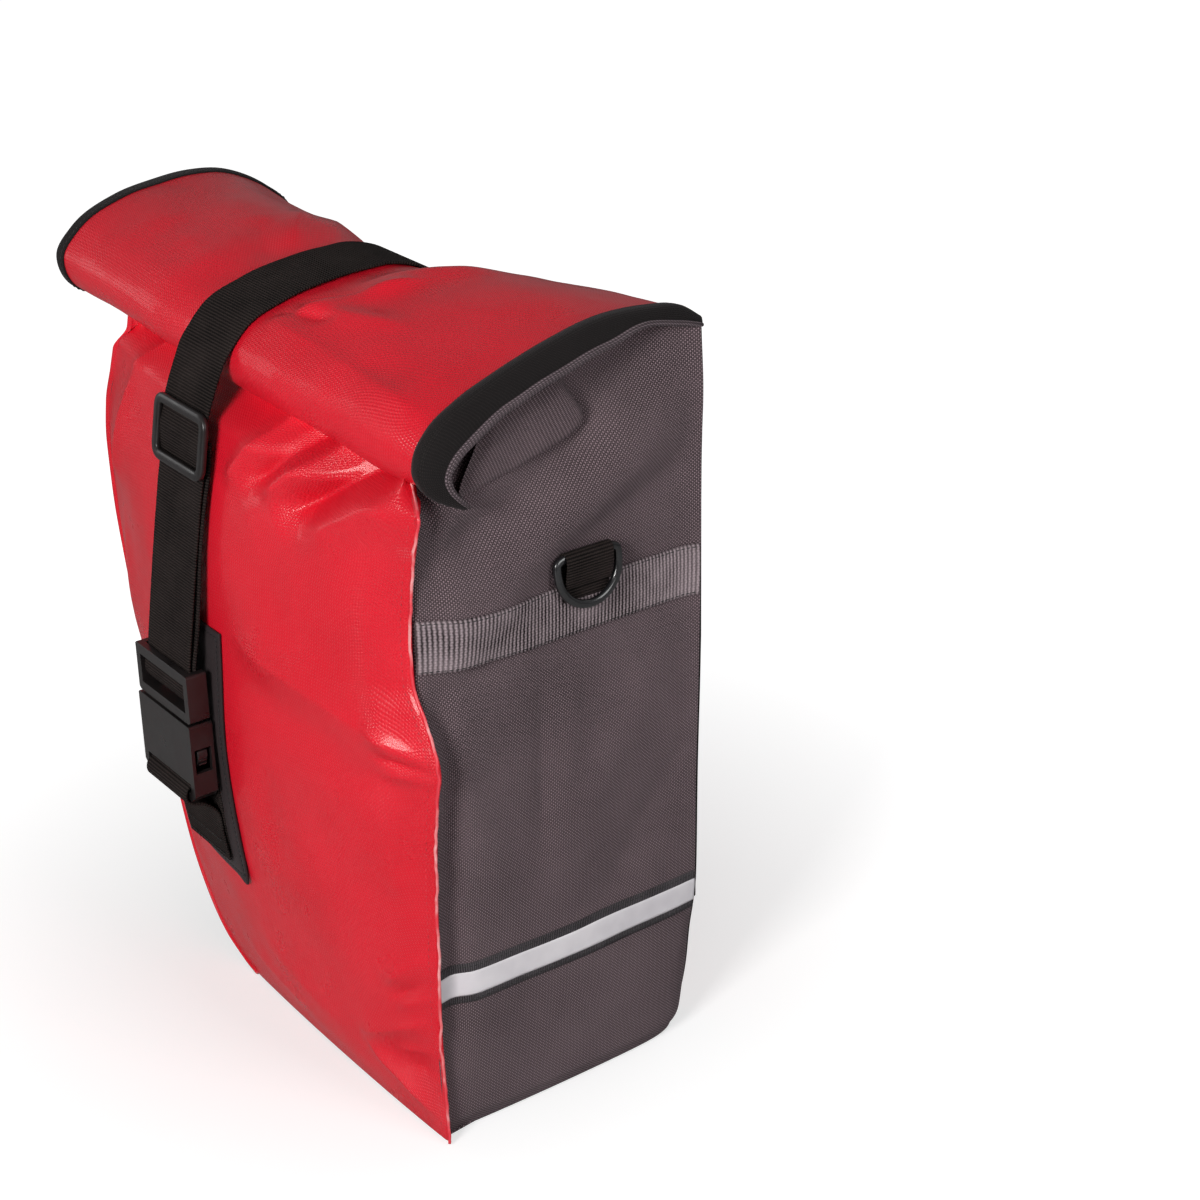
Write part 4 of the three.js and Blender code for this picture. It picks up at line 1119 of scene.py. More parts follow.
def make_roll_cloth():
    heel_end, straight_end = -189.6, 183.2
    x = heel_end + (straight_end - heel_end) * spread(210, 0.25)
    points = roll_skin(x, 230)[0]
    # underneath, the cloth stops short of the straight end
    share = np.linspace(0, 1, 230, endpoint=False)
    under = 1 - ease((share - 0.375) / 0.04) * ease((0.985 - share) / 0.012)
    points[:, :, 0] -= (46 * under)[None, :] * ease((x - 110) / 72)[:, None]
    ob = grid("roll_cloth", points, closed=True, thick=1.4)
    dress(ob, "red", "roll_top", "roll")
    # the inner face is painted near-black as the shade inside the roll
    ob.data.materials.append(LOOKS["lining"][0])
    ob.modifiers["thick"].material_offset = 1


def make_roll_heel_end():
    # the bound edge: x and offset from the skin
    rows = [(-199.0, -0.9), (-198.9, 0.1), (-198.4, 0.75), (-197.5, 1.0), (-195, 1.05),
            (-192, 1.05), (-190.2, 0.95), (-189.6, 0.6), (-189.3, -0.2)]
    rings = np.stack([roll_skin([x], 230, offset)[0][0] for x, offset in rows])
    ob = grid("roll_binding_heel", rings, closed=True, thick=1.0)
    dress(ob, "binding", "roll_binding_left", "roll")
    points, normals = roll_skin([-191.2], 300, offset=1.1)
    sew("roll_binding_heel_stitches", points[0][60:290], normals[0][60:290], length=2.4,
        radius=0.26, slot="binding_black", body="roll")
    # folded gusset cloth closes the end from inside
    rim = roll_ring(-196, -5.5)
    rings = [shrink(rim, 0.01, -192.4), shrink(rim, 0.12, -192.4), shrink(rim, 0.55, -193.5),
             rim, roll_ring(-188, -3.2), roll_ring(-150, -3.2)]
    ob = grid("roll_tuck_heel", np.stack(rings), closed=True, thick=1.0)
    dress(ob, "weave", "gusset_tuck_left", "roll")


# the hem at the straight end: (y, z) of its upper and lower edges
HEM_UPPER = [(-60, 375.2), (-67, 378.8), (-74.5, 383.2), (-81, 389.5), (-84, 397),
             (-82.5, 407), (-74.5, 417.8), (-56.5, 428.8), (-32.5, 438), (-6.5, 446),
             (30, 453), (58, 452), (78.5, 448), (89.5, 440.5)]
HEM_LOWER = [(-59, 376.2), (-62.6, 380.4), (-65.8, 385), (-67.8, 389.6), (-68.4, 394.5),
             (-64, 401), (-55.5, 408), (-42, 416.5), (-22, 424), (-1, 430.5), (31, 440.5),
             (54, 444.8), (74, 441.5), (88.5, 438.0)]
# share of the way from upper to lower edge, x, outward offset
HEM_ROWS = [(0, 176.5, 0), (0, 179.0, 0.5), (0, 181.8, 0.8), (0, 183.6, 0.7),
            (0.04, 184.6, 0.3), (0.25, 185.4, 0), (0.5, 185.9, 0), (0.75, 186.0, 0),
            (0.94, 185.6, 0), (1, 185.0, 0), (1, 184.0, -0.5), (1, 181, -1.0), (1, 172, -1.2),
            (1, 160, -1.0)]
# share of the way down and x of the fold along the lower edge
FOLD_ROWS = [(0.76, 185.8), (0.765, 186.7), (0.785, 187.3), (0.82, 187.6), (0.88, 187.7),
             (0.94, 187.5), (0.98, 187.0), (1.0, 186.2), (1.0, 184.6), (0.98, 180)]
# (y, z) of the lower and upper sides of the tucked gusset
TUCK_LOWER = [(-61, 376), (-45, 378.6), (-22, 383.2), (0, 389.2), (13, 393.5), (19.5, 399),
              (18.5, 406), (13, 413), (9, 420)]
TUCK_UPPER = [(-40, 412), (-30, 416), (-18, 420), (-8, 423), (-2, 425), (3, 427), (6, 428),
              (8, 429), (9, 430)]
# share of the way from upper to lower side, and x
TUCK_ROWS = [(0.0, 176.0), (0.25, 178.0), (0.5, 178.8), (0.75, 178.6), (0.92, 177.8),
             (0.985, 176.2), (1.0, 174.0), (0.985, 171.8), (0.92, 170.6), (0.6, 170.2),
             (0.3, 170.0), (0.0, 169.6)]


def make_roll_hem():
    """A hem that turns down from the red cloth, its lower edge a pale fold."""
    count = 190
    upper, lower = smooth_curve(HEM_UPPER, count), smooth_curve(HEM_LOWER, count)
    tangent = unit(np.gradient(upper, axis=0))
    normal = np.stack([-tangent[:, 1], tangent[:, 0]], 1)
    y = lower[:, 0]
    ripple = 0.5 * waves(y, 0 * y, 61, 30)
    rows = []
    for share, x, offset in HEM_ROWS:
        line = upper * (1 - share) + lower * share + normal * offset
        rows.append(np.column_stack([x + ripple * 0.3, line]))
    ob = grid("roll_hem_straight", np.stack(rows), flip=True, thick=0.9)
    dress(ob, "binding", "roll_binding_right", "roll")
    drift = 0.05 * waves(y, 0 * y, 63, 40)[:, None]
    rows = []
    for share, x in FOLD_ROWS:
        line = upper * (1 - share - drift) + lower * (share + drift)
        rows.append(np.column_stack([x + ripple * 0.5, line]))
    ob = grid("roll_hem_fold", np.stack(rows), flip=True, thick=0.8)
    dress(ob, "fold", body="roll")


def make_roll_straight_inside():
    """The folded gusset, a flat tube with an open front end, and the cloth behind it."""
    count = 90
    lower, upper = smooth_curve(TUCK_LOWER, count), smooth_curve(TUCK_UPPER, count)
    along_fold = np.linspace(0, 1, count)
    tip = ease((along_fold - 0.80) / 0.2)
    mouth = 1 - ease(along_fold / 0.15)
    rows = []
    for share, x in TUCK_ROWS:
        line = upper * (1 - share) + lower * share
        row_x = (x - (x - 173.5) * tip * 0.75 - 3.0 * mouth * (share < 0.9)
                 + 0.5 * waves(line[:, 0], line[:, 1], 71, 26))
        rows.append(np.column_stack([row_x, line]))
    ob = grid("roll_tuck_straight", np.stack(rows), thick=1.2)
    smoothing = ob.modifiers.new("sub", "SUBSURF")
    smoothing.levels = smoothing.render_levels = 1
    dress(ob, "weave", "gusset_tuck_right", "roll")
    rim = roll_ring(166, -3.0)
    rings = [roll_ring(150, -3.0), rim, shrink(rim, 0.5, 164), shrink(rim, 0.08, 163)]
    ob = grid("roll_lining_straight", np.stack(rings), closed=True, thick=0.8)
    dress(ob, "weave", body="roll")


# ------------------------------------------------------------------ bands and strips
def band_x(y, z, middle):
    """Where a band centred on height `middle` lies: it bridges the gusset's hollows."""
    surface = gusset_x(y, z)
    return np.maximum(gusset_x(y, middle) * 0.45 + surface * 0.55, surface + 0.1)


def side_band(name, look, z0, z1, thick, offset, swell, y0, y1, node=None):
    """A band on the straight side that follows the cloth and swells along its middle."""
    y, across = np.meshgrid(np.linspace(y0, y1, 170), np.linspace(-1, 1, 16), indexing="ij")
    middle = (z0 + z1) / 2
    z = middle + across * (z1 - z0) / 2
    rise = thick + offset + swell * (1 - across**2) - 0.35 * (np.abs(across) ** 8)
    points = np.stack([band_x(y, z, middle) + rise, y, z], -1)
    ob = grid(name, points, uv=np.stack([z - z0, y], -1), thick=thick)
    dress(ob, look, node, "bag")


def heel_band(name, look, z0, z1, thick, offset, node=None):
    """A band across the heel side."""
    y, z = np.meshgrid(np.linspace(-86, 86.5, 120), np.linspace(z0, z1, 12), indexing="ij")
    share = (y + 88) / 176
    across = (z - (z0 + z1) / 2) / ((z1 - z0) / 2)
    cloth = heel_front(z) * (1 - share) + heel_back(z) * share - np.sin(np.pi * share) * 1.6
    points = np.stack([cloth - offset - thick - 0.4 * (1 - across**2), y, z], -1)
    ob = grid(name, points, uv=np.stack([z - z0, y], -1), thick=thick, flip=True)
    dress(ob, look, node, "bag")


def sew_side(name, z, middle, offset, **settings):
    """Stitches along the straight side, on a band centred on height `middle`."""
    y = np.linspace(-84, 85, 300)
    path = np.column_stack([band_x(y, z, middle) + offset, y, 0 * y + z])
    sew(name, path, (1, 0, 0), **settings)


def make_side_bands():
    web_edges = dict(look="web_grey", z0=285.5, z1=315.5, thick=1.5)
    side_band("side_band_straight", offset=0.25, swell=0.5, y0=-86.0, y1=86.5,
              node="side_band_right", **web_edges)
    for z, edge in ((314.0, "top"), (287.0, "bottom")):
        sew_side("side_band_straight_stitches_" + edge, z, middle=BAND_Z, offset=1.85, seed=9,
                 pitch=3.3, length=2.5, lift=-0.12, slot="webbing_grey")
    heel_band("side_band_heel", offset=0.3, node="side_band_left", **web_edges)
    heel_band("reflective_margin_heel", "tape_margin", 83.5, 108.5, thick=0.7, offset=0.3)
    heel_band("reflective_strip_heel", "tape", 88.5, 103.5, thick=0.5, offset=0.9,
              node="reflective_strip_left")
    side_band("reflective_margin_straight", "tape_margin", 83.8, 108.6, thick=0.8, offset=0.1,
              swell=0.1, y0=-86.5, y1=86.8)
    side_band("reflective_strip_straight", "tape", 88.6, 103.4, thick=0.5, offset=0.9,
              swell=0.15, y0=-86.6, y1=87.0, node="reflective_strip_right")
    for z, edge in ((106.6, "top"), (85.8, "bottom")):
        sew_side("reflective_stitches_" + edge, z, middle=96.2, offset=0.95, seed=10,
                 pitch=3.2, length=2.4, radius=0.28, lift=-0.1, slot="binding_black")


def make_back_band():
    """The band across the rack side, its ends drawn in at the seams."""
    x = np.linspace(-167, 181.5, 150)
    y = (89.25 + 0.15 * waves(x, 0 * x, 91, 60) - 0.9 * ease((x - 174) / 8)
         - 0.9 * ease((-160 - x) / 7))
    path = np.column_stack([x, y, np.full_like(x, BAND_Z)])
    webbing("back_band", path, (0, 0, 1), width=30, thick=1.5)
    for z, edge in ((313.6, "top"), (287.4, "bottom")):
        sew("back_band_stitches_" + edge, np.column_stack([x, y + 0.78, 0 * x + z]), (0, 1, 0),
            seed=11, radius=0.28, lift=-0.1)


# ------------------------------------------------------------------ D-rings in their loops
def d_outline(half_width, drop):
    """Straight bar on top at height 0, round below."""
    points = [(-half_width + 3, 0), (0, 0), (half_width - 3, 0), (half_width - 0.6, -1.2),
              (half_width, -4)]
    points += [(half_width * math.cos(q), -(drop - half_width) - half_width * math.sin(q))
               for q in np.linspace(0.0, math.pi, 13)]
    points += [(-half_width, -4), (-half_width + 0.6, -1.2)]
    return smooth_curve(points, 90, closed=True)


def make_d_rings():
    middle_y, bar_z, tab_thick = 12, 331, 1.4
    turn = 1.9 + 0.55 + tab_thick / 2     # the tab's radius round the bar
    for side, sign in (("right", 1), ("left", -1)):
        low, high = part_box("d_ring_" + side)
        ring_x = low.x * 1000 + 1.9 if sign > 0 else high.x * 1000 - 1.9
        outline = d_outline(half_width=19.5, drop=27.0)
        path = np.column_stack([ring_x + sign * np.abs(outline[:, 1]) * 0.12,
                                middle_y + outline[:, 0], bar_z + outline[:, 1]])
        tangent = loop_tangents(path)
        normal = np.tile([1.0, 0, 0.12 * sign], (len(path), 1))
        normal = unit(normal - np.sum(normal * tangent, 1, keepdims=True) * tangent)
        ob = sweep("d_ring_" + side + "_moulded", path, rounded_section(2.3, 1.85, 0.75, 16),
                   np.cross(tangent, normal), normal, closed=True)
        dress(ob, "plastic_gloss", "d_ring_" + side, "ring_" + side)
        # the tab goes up behind the bar, over it and back down to the band
        base = float(gusset_x(middle_y, 316)) + 1.6 if sign > 0 else -172.2
        points = [(base + sign * 0.2, 306), (base + sign * 0.6, 316),
                  (ring_x - sign * turn, bar_z - 5)]
        for i in range(9):
            angle = math.pi * (1 - i / 8)
            points.append((ring_x + sign * turn * math.cos(angle),
                           bar_z + turn * math.sin(angle)))
        points += [(ring_x + sign * turn, bar_z - 4), (ring_x + sign * (turn - 0.6), bar_z - 8),
                   (base + sign * 4.2, 318.5), (base + sign * 2.6, 314.0)]
        webbing("d_ring_tab_" + side, [(x, middle_y, z) for x, z in points], (0, 1, 0),
                width=30, thick=tab_thick, step=0.9)


# ------------------------------------------------------------------ closure strap and slider
# the strap's straight run down the front, as (y, z)
RUN_TOP, RUN_END = np.array([-108.0, 391.0]), np.array([-133.2, 243.0])
RUN_DOWN = unit(RUN_END - RUN_TOP)
RUN_OUT = np.array([RUN_DOWN[1], -RUN_DOWN[0]])
SLIDER = RUN_TOP + (RUN_END - RUN_TOP) * 0.17


def by_slider(*places):
    """(y, z) from pairs of distance down the run from the slider and lift off it."""
    return [SLIDER + RUN_DOWN * down + RUN_OUT * lift for down, lift in places]


def on_run(share, lift):
    """(y, z) at shares of the whole run."""
    return RUN_TOP + (RUN_END - RUN_TOP) * share[:, None] + RUN_OUT * lift[:, None]


def closure_strap(name, outline, count, node=None, x=STRAP_X, width=STRAP_W, thick=1.7):
    """A length of the closure strap from its (y, z) outline."""
    line = smooth_curve(outline, count)
    path = np.column_stack([np.full(count, x), line])
    return dress(strap(name, path, (1, 0, 0), width, thick), "web", node)


def make_closure_strap():
    # the strap's line over the skin, lifted by most of the cloth's rise beside it
    points, normals = roll_skin([STRAP_X - 22, STRAP_X, STRAP_X + 22], 300)
    line, normal = points[:, :, 1:].mean(0), normals[1][:, 1:]
    high = np.max(np.sum((points[:, :, 1:] - line[None]) * normal[None], 2), 0)
    line = line + normal * (high[:, None] * 0.8 + 1.75)
    lip = int(np.argmin(np.abs(line[:, 1] - 420) + (line[:, 0] > -60) * 99))
    top = int(np.argmin(np.abs(line[:, 0] - 44) + (line[:, 1] < 420) * 99))
    # from the top forward over the roll and down to the slider
    drop = [(-96.4, 411.0), (-100.2, 403.2), (-103.6, 395.6), (-106.6, 388.4)]
    outline = np.vstack([line[lip:top + 1][::-1], drop,
                         by_slider((-14, -0.2), (-9, 0.5), (-4, 1.5), (0, 1.8))])
    ob = closure_strap("closure_strap_over", outline, 210, "roll_strap")
    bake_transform(ob)
    # from the back panel on to the roll: z, lift off the panel
    rows = [(371, 3.0), (378, 2.8), (386, 2.4), (394, 2.2), (401, 2.4), (404.5, 3.0)]
    outline = [(float(back_y(STRAP_X, z)) + lift, z) for z, lift in rows]
    outline += [tuple(point) for point in line[top:-1][::-4] if point[1] > 412.5]
    outline[-1] = tuple(line[top])
    ob = closure_strap("closure_strap_behind", outline, 90)
    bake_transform(ob)
    # from the slider down to the buckle's male half
    share = np.linspace(0.36, 1.0, 9)
    into_buckle = [(-133.6, 240.0), (-133.9, 235.0), (-136.4, 230.0), (-137.2, 225.5),
                   (-136.0, 221.0), (-133.0, 217.6)]
    outline = np.vstack([by_slider((0, 1.8), (4, 1.5), (9, 0.5), (14, -0.2), (22, -0.2)),
                         on_run(share, 0.5 * np.sin((share - 0.3) / 0.7 * math.pi)),
                         into_buckle])
    ob = closure_strap("closure_strap_down", outline, 120, "front_strap")
    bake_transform(ob)
    # the doubled length behind it
    share = np.linspace(0.36, 0.98, 8)
    outline = np.vstack([by_slider((-3, -3.0), (4, -3.4), (12, -3.6), (20, -3.2)),
                         on_run(share, -(2.6 + 0.8 * np.sin(share * 9))),
                         [(-130.6, 240.0), (-130.4, 234.5)]])
    ob = closure_strap("closure_strap_doubled", outline, 110, x=STRAP_X + 1.2,
                       width=STRAP_W - 0.6, thick=1.6)
    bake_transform(ob)


def slider_points(flat, lift):
    """Points on the slider's plane from (x, distance up the run), lifted off the strap."""
    return np.column_stack([STRAP_X + flat[:, 0],
                            SLIDER[0] - RUN_DOWN[0] * flat[:, 1] + RUN_OUT[0] * lift,
                            SLIDER[1] - RUN_DOWN[1] * flat[:, 1] + RUN_OUT[1] * lift])


def make_slider():
    half_width, half_height = 28.5 - 3.2, 19.0 - 2.9
    corners = rounded_rectangle(half_width, half_height, radius=5.2, steps=6)
    loop = []
    for here, following in zip(corners, np.roll(corners, -1, 0)):
        straight = np.linalg.norm(here - following) > 4
        loop.append(np.linspace(here, following, 7)[:-1] if straight else here[None])
    path = slider_points(np.concatenate(loop), 2.3)
    outward = np.array([0.0, *RUN_OUT])
    normal = np.tile(outward, (len(path), 1))
    rim = sweep("strap_slider_frame", path, rounded_section(3.0, 2.0, 0.62, 20),
                np.cross(loop_tangents(path), normal), normal, closed=True)
    # the middle bar lies behind the strap and rises into the frame at its ends
    x = np.linspace(-half_width, half_width, 28)
    path = slider_points(np.column_stack([x, np.zeros(28)]),
                         -0.7 + 2.6 * ease((np.abs(x) - 23.6) / 1.7))
    normal = np.tile(outward, (28, 1))
    bar = sweep("strap_slider_bar", path, rounded_section(3.2, 1.25, 0.8, 20),
                np.cross(np.tile([1.0, 0, 0], (28, 1)), normal), normal)
    for ob in (rim, bar):
        dress(ob, "plastic", "strap_slider", "slider")


def grip_rib(name, x0, x1, z0, body):
    """A small rounded bar on a buckle arm."""
    height, front, back = 1.1, -135.8, -130.7
    half_width = (x1 - x0) / 2
    # turned by two corners so that it starts at the lower left
    outline = np.roll(rounded_rectangle(half_width, height / 2, radius=0.3, steps=5), -12, 0)
    work = bmesh.new()
    face = work.faces.new([
        work.verts.new(Vector((x0 + half_width + x, front, z0 + height / 2 + z)) * MM)
        for x, z in outline])
    grown = bmesh.ops.extrude_face_region(work, geom=[face])
    for item in grown["geom"]:
        if isinstance(item, bmesh.types.BMVert):
            item.co += Vector((0, back - front, 0)) * MM
    bmesh.ops.recalc_face_normals(work, faces=work.faces)
    mesh = bpy.data.meshes.new(name)
    work.to_mesh(mesh)
    work.free()
    ob = link(bpy.data.objects.new(name, mesh))
    round_edges(ob, width=0.25, segments=2, angle=28)
    dress(ob, "plastic", body=body)


def make_buckle():
    for node, body, bevel in (("buckle_female", "bag", 1.7), ("buckle_male", "male_half", 1.5),
                              ("buckle_arm_left", "left_arm", 0.9),
                              ("buckle_arm_right", "right_arm", 0.9)):
        refine_cad(node, body, bevel, angle=25)
    for sign, side in ((-1, "left"), (1, "right")):
        for i in range(3):
            x0, x1 = sorted((STRAP_X + sign * 26.3, STRAP_X + sign * (28.6 + 0.35 * i)))
            grip_rib("buckle_arm_%s_grip_%d" % (side, i), x0, x1, 182.0 + i * 2.6,
                     side + "_arm")


# ------------------------------------------------------------------ buckle patch and loop
def make_patch():
    x0, x1, z0, z1 = STRAP_X - 36, STRAP_X + 36, 101.0, 262.0
    x, z = np.meshgrid(x0 + (x1 - x0) * np.linspace(0, 1, 60),
                       z0 + (z1 - z0) * np.linspace(0, 1, 110), indexing="ij")
    edge = np.minimum(np.minimum(x - x0, x1 - x), np.minimum(z - z0, z1 - z))
    # puffed inside, with a groove 3.2 mm in where it is sewn
    puff = (1.9 + 0.5 * ease(edge / 7) - 0.45 * bell(edge, 3.2, 0.9)
            + 0.35 * waves(x, z, 81, 40) * ease(edge / 12))
    # two opposite corners curl up
    curl = bell(x, x1, 9) * bell(z, z0, 9) + 0.7 * bell(x, x0, 8) * bell(z, z1, 10)
    puff = puff + 1.5 * np.clip(1 - edge / 2.0, 0, 1) * curl
    points = on_front(x, z) + front_normal(x, z) * puff[..., None]
    ob = grid("buckle_patch_cloth", points, uv=np.stack([x, z], -1), thick=1.6)
    dress(ob, "patch", "buckle_patch", "bag")
    # round the patch, then two upright and two level lines across the loop
    margin = 3.2
    left, right, low, high = x0 + margin, x1 - margin, z0 + margin, z1 - margin
    loop_left, loop_right = STRAP_X - 21, STRAP_X + 21
    lines = [((left, low), (right, low)), ((right, low), (right, high)),
             ((right, high), (left, high)), ((left, high), (left, low)),
             ((loop_left, 108.5), (loop_left, 141)), ((loop_right, 108.5), (loop_right, 141)),
             ((loop_left, 108.5), (loop_right, 108.5)), ((loop_left, 126), (loop_right, 126))]
    for i, (start, end) in enumerate(lines):
        share = np.linspace(0, 1, 60)[:, None]
        x, z = (np.array(start) * (1 - share) + np.array(end) * share).T
        normal = front_normal(x, z)
        path = on_front(x, z) + normal * (2.0 if i < 4 else 2.55)
        sew("buckle_patch_stitches_%d" % i, path, normal, seed=20 + i, pitch=3.3, length=2.5,
            slot="patch_black")


def make_buckle_loop():
    """The sewn loop that holds the buckle's lower half."""
    def behind(z):
        """y just in front of the patch."""
        return float(front_y(STRAP_X, z)) - 4.3

    bar_z = 159.0
    outline = [(behind(112) + 0.9, 112), (behind(120) + 0.7, 120), (behind(130), 130),
               (behind(142), 142), (behind(152), 152), (behind(161) - 0.1, bar_z + 4),
               (behind(163) - 0.4, bar_z + 7.2), (-134.5, bar_z + 8.3), (-140.7, bar_z + 8.0),
               (-142.4, bar_z + 5.6), (-142.4, bar_z - 0.2), (-139.6, bar_z - 2.6),
               (-133.4, bar_z - 5.0), (behind(144) - 3.4, 145.5), (behind(130) - 2.3, 130),
               (behind(118) - 1.9, 118), (behind(112) - 1.6, 112)]
    webbing("buckle_loop", [(STRAP_X, y, z) for y, z in outline], (1, 0, 0),
            width=STRAP_W - 1, thick=1.6, step=1.0)
    x = np.linspace(STRAP_X - 21, STRAP_X + 21, 40)
    for i, z in enumerate((115.5, 124.5)):
        path = np.column_stack([x, 0 * x + (behind(z) - 2.3 - 0.85), 0 * x + z])
        sew("buckle_loop_stitches_%d" % i, path, (0, -1, 0), seed=30 + i, pitch=3.2,
            length=2.5, radius=0.32, lift=0.25)


# ------------------------------------------------------------------ rack side
def revolve(profile, count, x, y, z):
    """Rings of `count` points from (radius, height) pairs, about an axis along y."""
    angles = 2 * math.pi * np.arange(count) / count
    radius, height = np.array(profile).T[:, :, None]
    return np.stack([x + radius * np.cos(angles), y + height + 0 * angles,
                     z + radius * np.sin(angles)], -1)


def rivet_head(node, x, z, base_y, radius, height):
    # shares of the radius and of the height
    shares = [(0, 1), (0.25, 1), (0.5, 0.93), (0.75, 0.72), (0.92, 0.42), (1, 0.16), (1.01, 0)]
    profile = [(radius * out, height * rise) for out, rise in shares] + [(radius * 0.6, -0.1)]
    profile = smooth_curve(profile, 26)
    profile[:, 0] = np.maximum(profile[:, 0], 0.01)
    points = revolve(profile, 40, x, base_y, z)
    ob = mesh_object(node + "_head", points.reshape(-1, 3), capped_faces(26, 40))
    dress(face_outward(ob), "steel", node, "bag")


def make_back_strap():
    """The closure strap down the rack side, turned round a wire ring at its lower end."""
    y, ring_z, wire = 91.35, 136.0, 1.7
    ring_y = y + 3.3
    turn = wire + 0.5 + 0.85
    points = [(float(back_y(STRAP_X, 371)) + 3.0, 371.0), (91.3, 362), (y, 350), (y, 340),
              (91.5, 312), (91.5, 290), (y, 250), (91.3, 200), (y, 160),
              (ring_y - turn + 0.1, ring_z + 7)]
    for i in range(9):
        angle = math.pi * (1 + i / 8)
        points.append((ring_y + turn * math.cos(angle), ring_z + turn * math.sin(angle)))
    points += [(ring_y + turn - 0.2, ring_z + 6), (y + 2.35, ring_z + 15),
               (y + 2.0, ring_z + 24), (y + 1.9, ring_z + 35)]
    webbing("back_strap", [(STRAP_X, a, b) for a, b in points], (1, 0, 0), STRAP_W,
            thick=1.7, step=1.6)
    for i, line in enumerate(box_and_cross(STRAP_X, 330, 38, 22)):
        sew_back("back_strap_stitches_%d" % i, line, y=92.2, seed=40 + i)
    for i, z in enumerate((155.5, 166.5)):
        line = level_line(STRAP_X - 20, STRAP_X + 20, z, 30)
        sew_back("back_strap_end_stitches_%d" % i, line, y=94.2, seed=55 + i)
    # the D outline, flattened to a drop of 18.5
    outline = d_outline(half_width=27, drop=28.5) * np.array([1, 18.5 / 28.5])
    path = np.column_stack([STRAP_X + outline[:, 0], ring_y + np.abs(outline[:, 1]) * 0.1,
                            ring_z + outline[:, 1]])
    ob = tube("back_ring_wire", path, wire, count=14, up=(0, 1, 0.1), closed=True)
    dress(ob, "steel", "back_strap_ring", "back_ring")


def make_carry_handle():
    middle_x, handle_z, half_span = -10, 333, 70.3

    def arch(share, lift, z):
        """The handle's bow, share -1..1 from end to end."""
        y = 98.7 + 19.5 * (1 - np.abs(share) ** 2.2) + 0.5 * np.sin(share * 7)
        return np.column_stack([middle_x + share * half_span, y + lift, z + 0 * share])

    webbing("carry_handle", arch(np.linspace(-1, 1, 90), 0, handle_z), (0, 0, 1), width=28,
            thick=1.9, body="handle")
    for z in (327.5, 338.5):
        sew("carry_handle_stitches_%d" % int(z), arch(np.linspace(-0.50, 0.50, 60), 0.98, z),
            (0, 1, 0), seed=int(z), body="handle")
    # distance from the handle's middle, and y
    tab = [(104, 89.4), (95, 89.5), (86, 89.7), (80, 91.6), (75.5, 94.8), (71.6, 97.4)]
    for side, sign in (("left", -1), ("right", 1)):
        webbing("handle_tab_" + side, [(middle_x + sign * out, y, handle_z) for out, y in tab],
                (0, 0, 1), width=28, thick=1.8, step=1.2)
        for i, line in enumerate(box_and_cross(middle_x + sign * 95.5, handle_z, 13, 21)):
            sew_back("handle_tab_%s_stitches_%d" % (side, i), line, y=90.45, seed=60 + i,
                     pitch=3.0, length=2.3)


def make_rail_hooks():
    for side, x in (("left", -136), ("right", 130)):
        refine_cad("rail_hook_" + side, "bag", bevel=1.3, angle=20)
        for i, shift in ((1, -10), (2, 10)):
            rivet_head("rail_hook_rivet_%s_%d" % (side, i), x + shift, 270, base_y=94.5,
                       radius=4.2, height=2.0)


def make_rail_straps():
    """Hook-and-loop straps: up the panel, over, and down to a slanted free end."""
    width, y = 25, 91.3
    outline = [(y, 286), (y, 296), (y + 0.2, 303), (y + 2.4, 309), (y + 8, 311.5),
               (y + 16, 310.5), (y + 20, 305), (y + 20.5, 288), (y + 18, 262),
               (y + 14.5, 238), (y + 12, 218)]
    for side, x in (("left", -98), ("right", 90)):
        ob = webbing("rail_strap_" + side, [(x, a, b) for a, b in outline], (1, 0, 0), width,
                     thick=1.7, step=1.5, look="loop")
        places = np.array([vertex.co for vertex in ob.data.vertices])
        free = np.clip((250 - places[:, 2] * 1000) / 32, 0, 1) * (places[:, 1] > 0.100)
        places[:, 2] += free * ((places[:, 0] * 1000 - x) / (width / 2)) * 0.0045
        ob.data.vertices.foreach_set("co", places.ravel())
        ob.data.update()
        for i, line in enumerate(box_and_cross(x, 294, 18, 9)[:4]):
            sew_back("rail_strap_%s_stitches_%d" % (side, i), line, y=92.2, seed=80 + i,
                     pitch=3.0, length=2.3, radius=0.28)


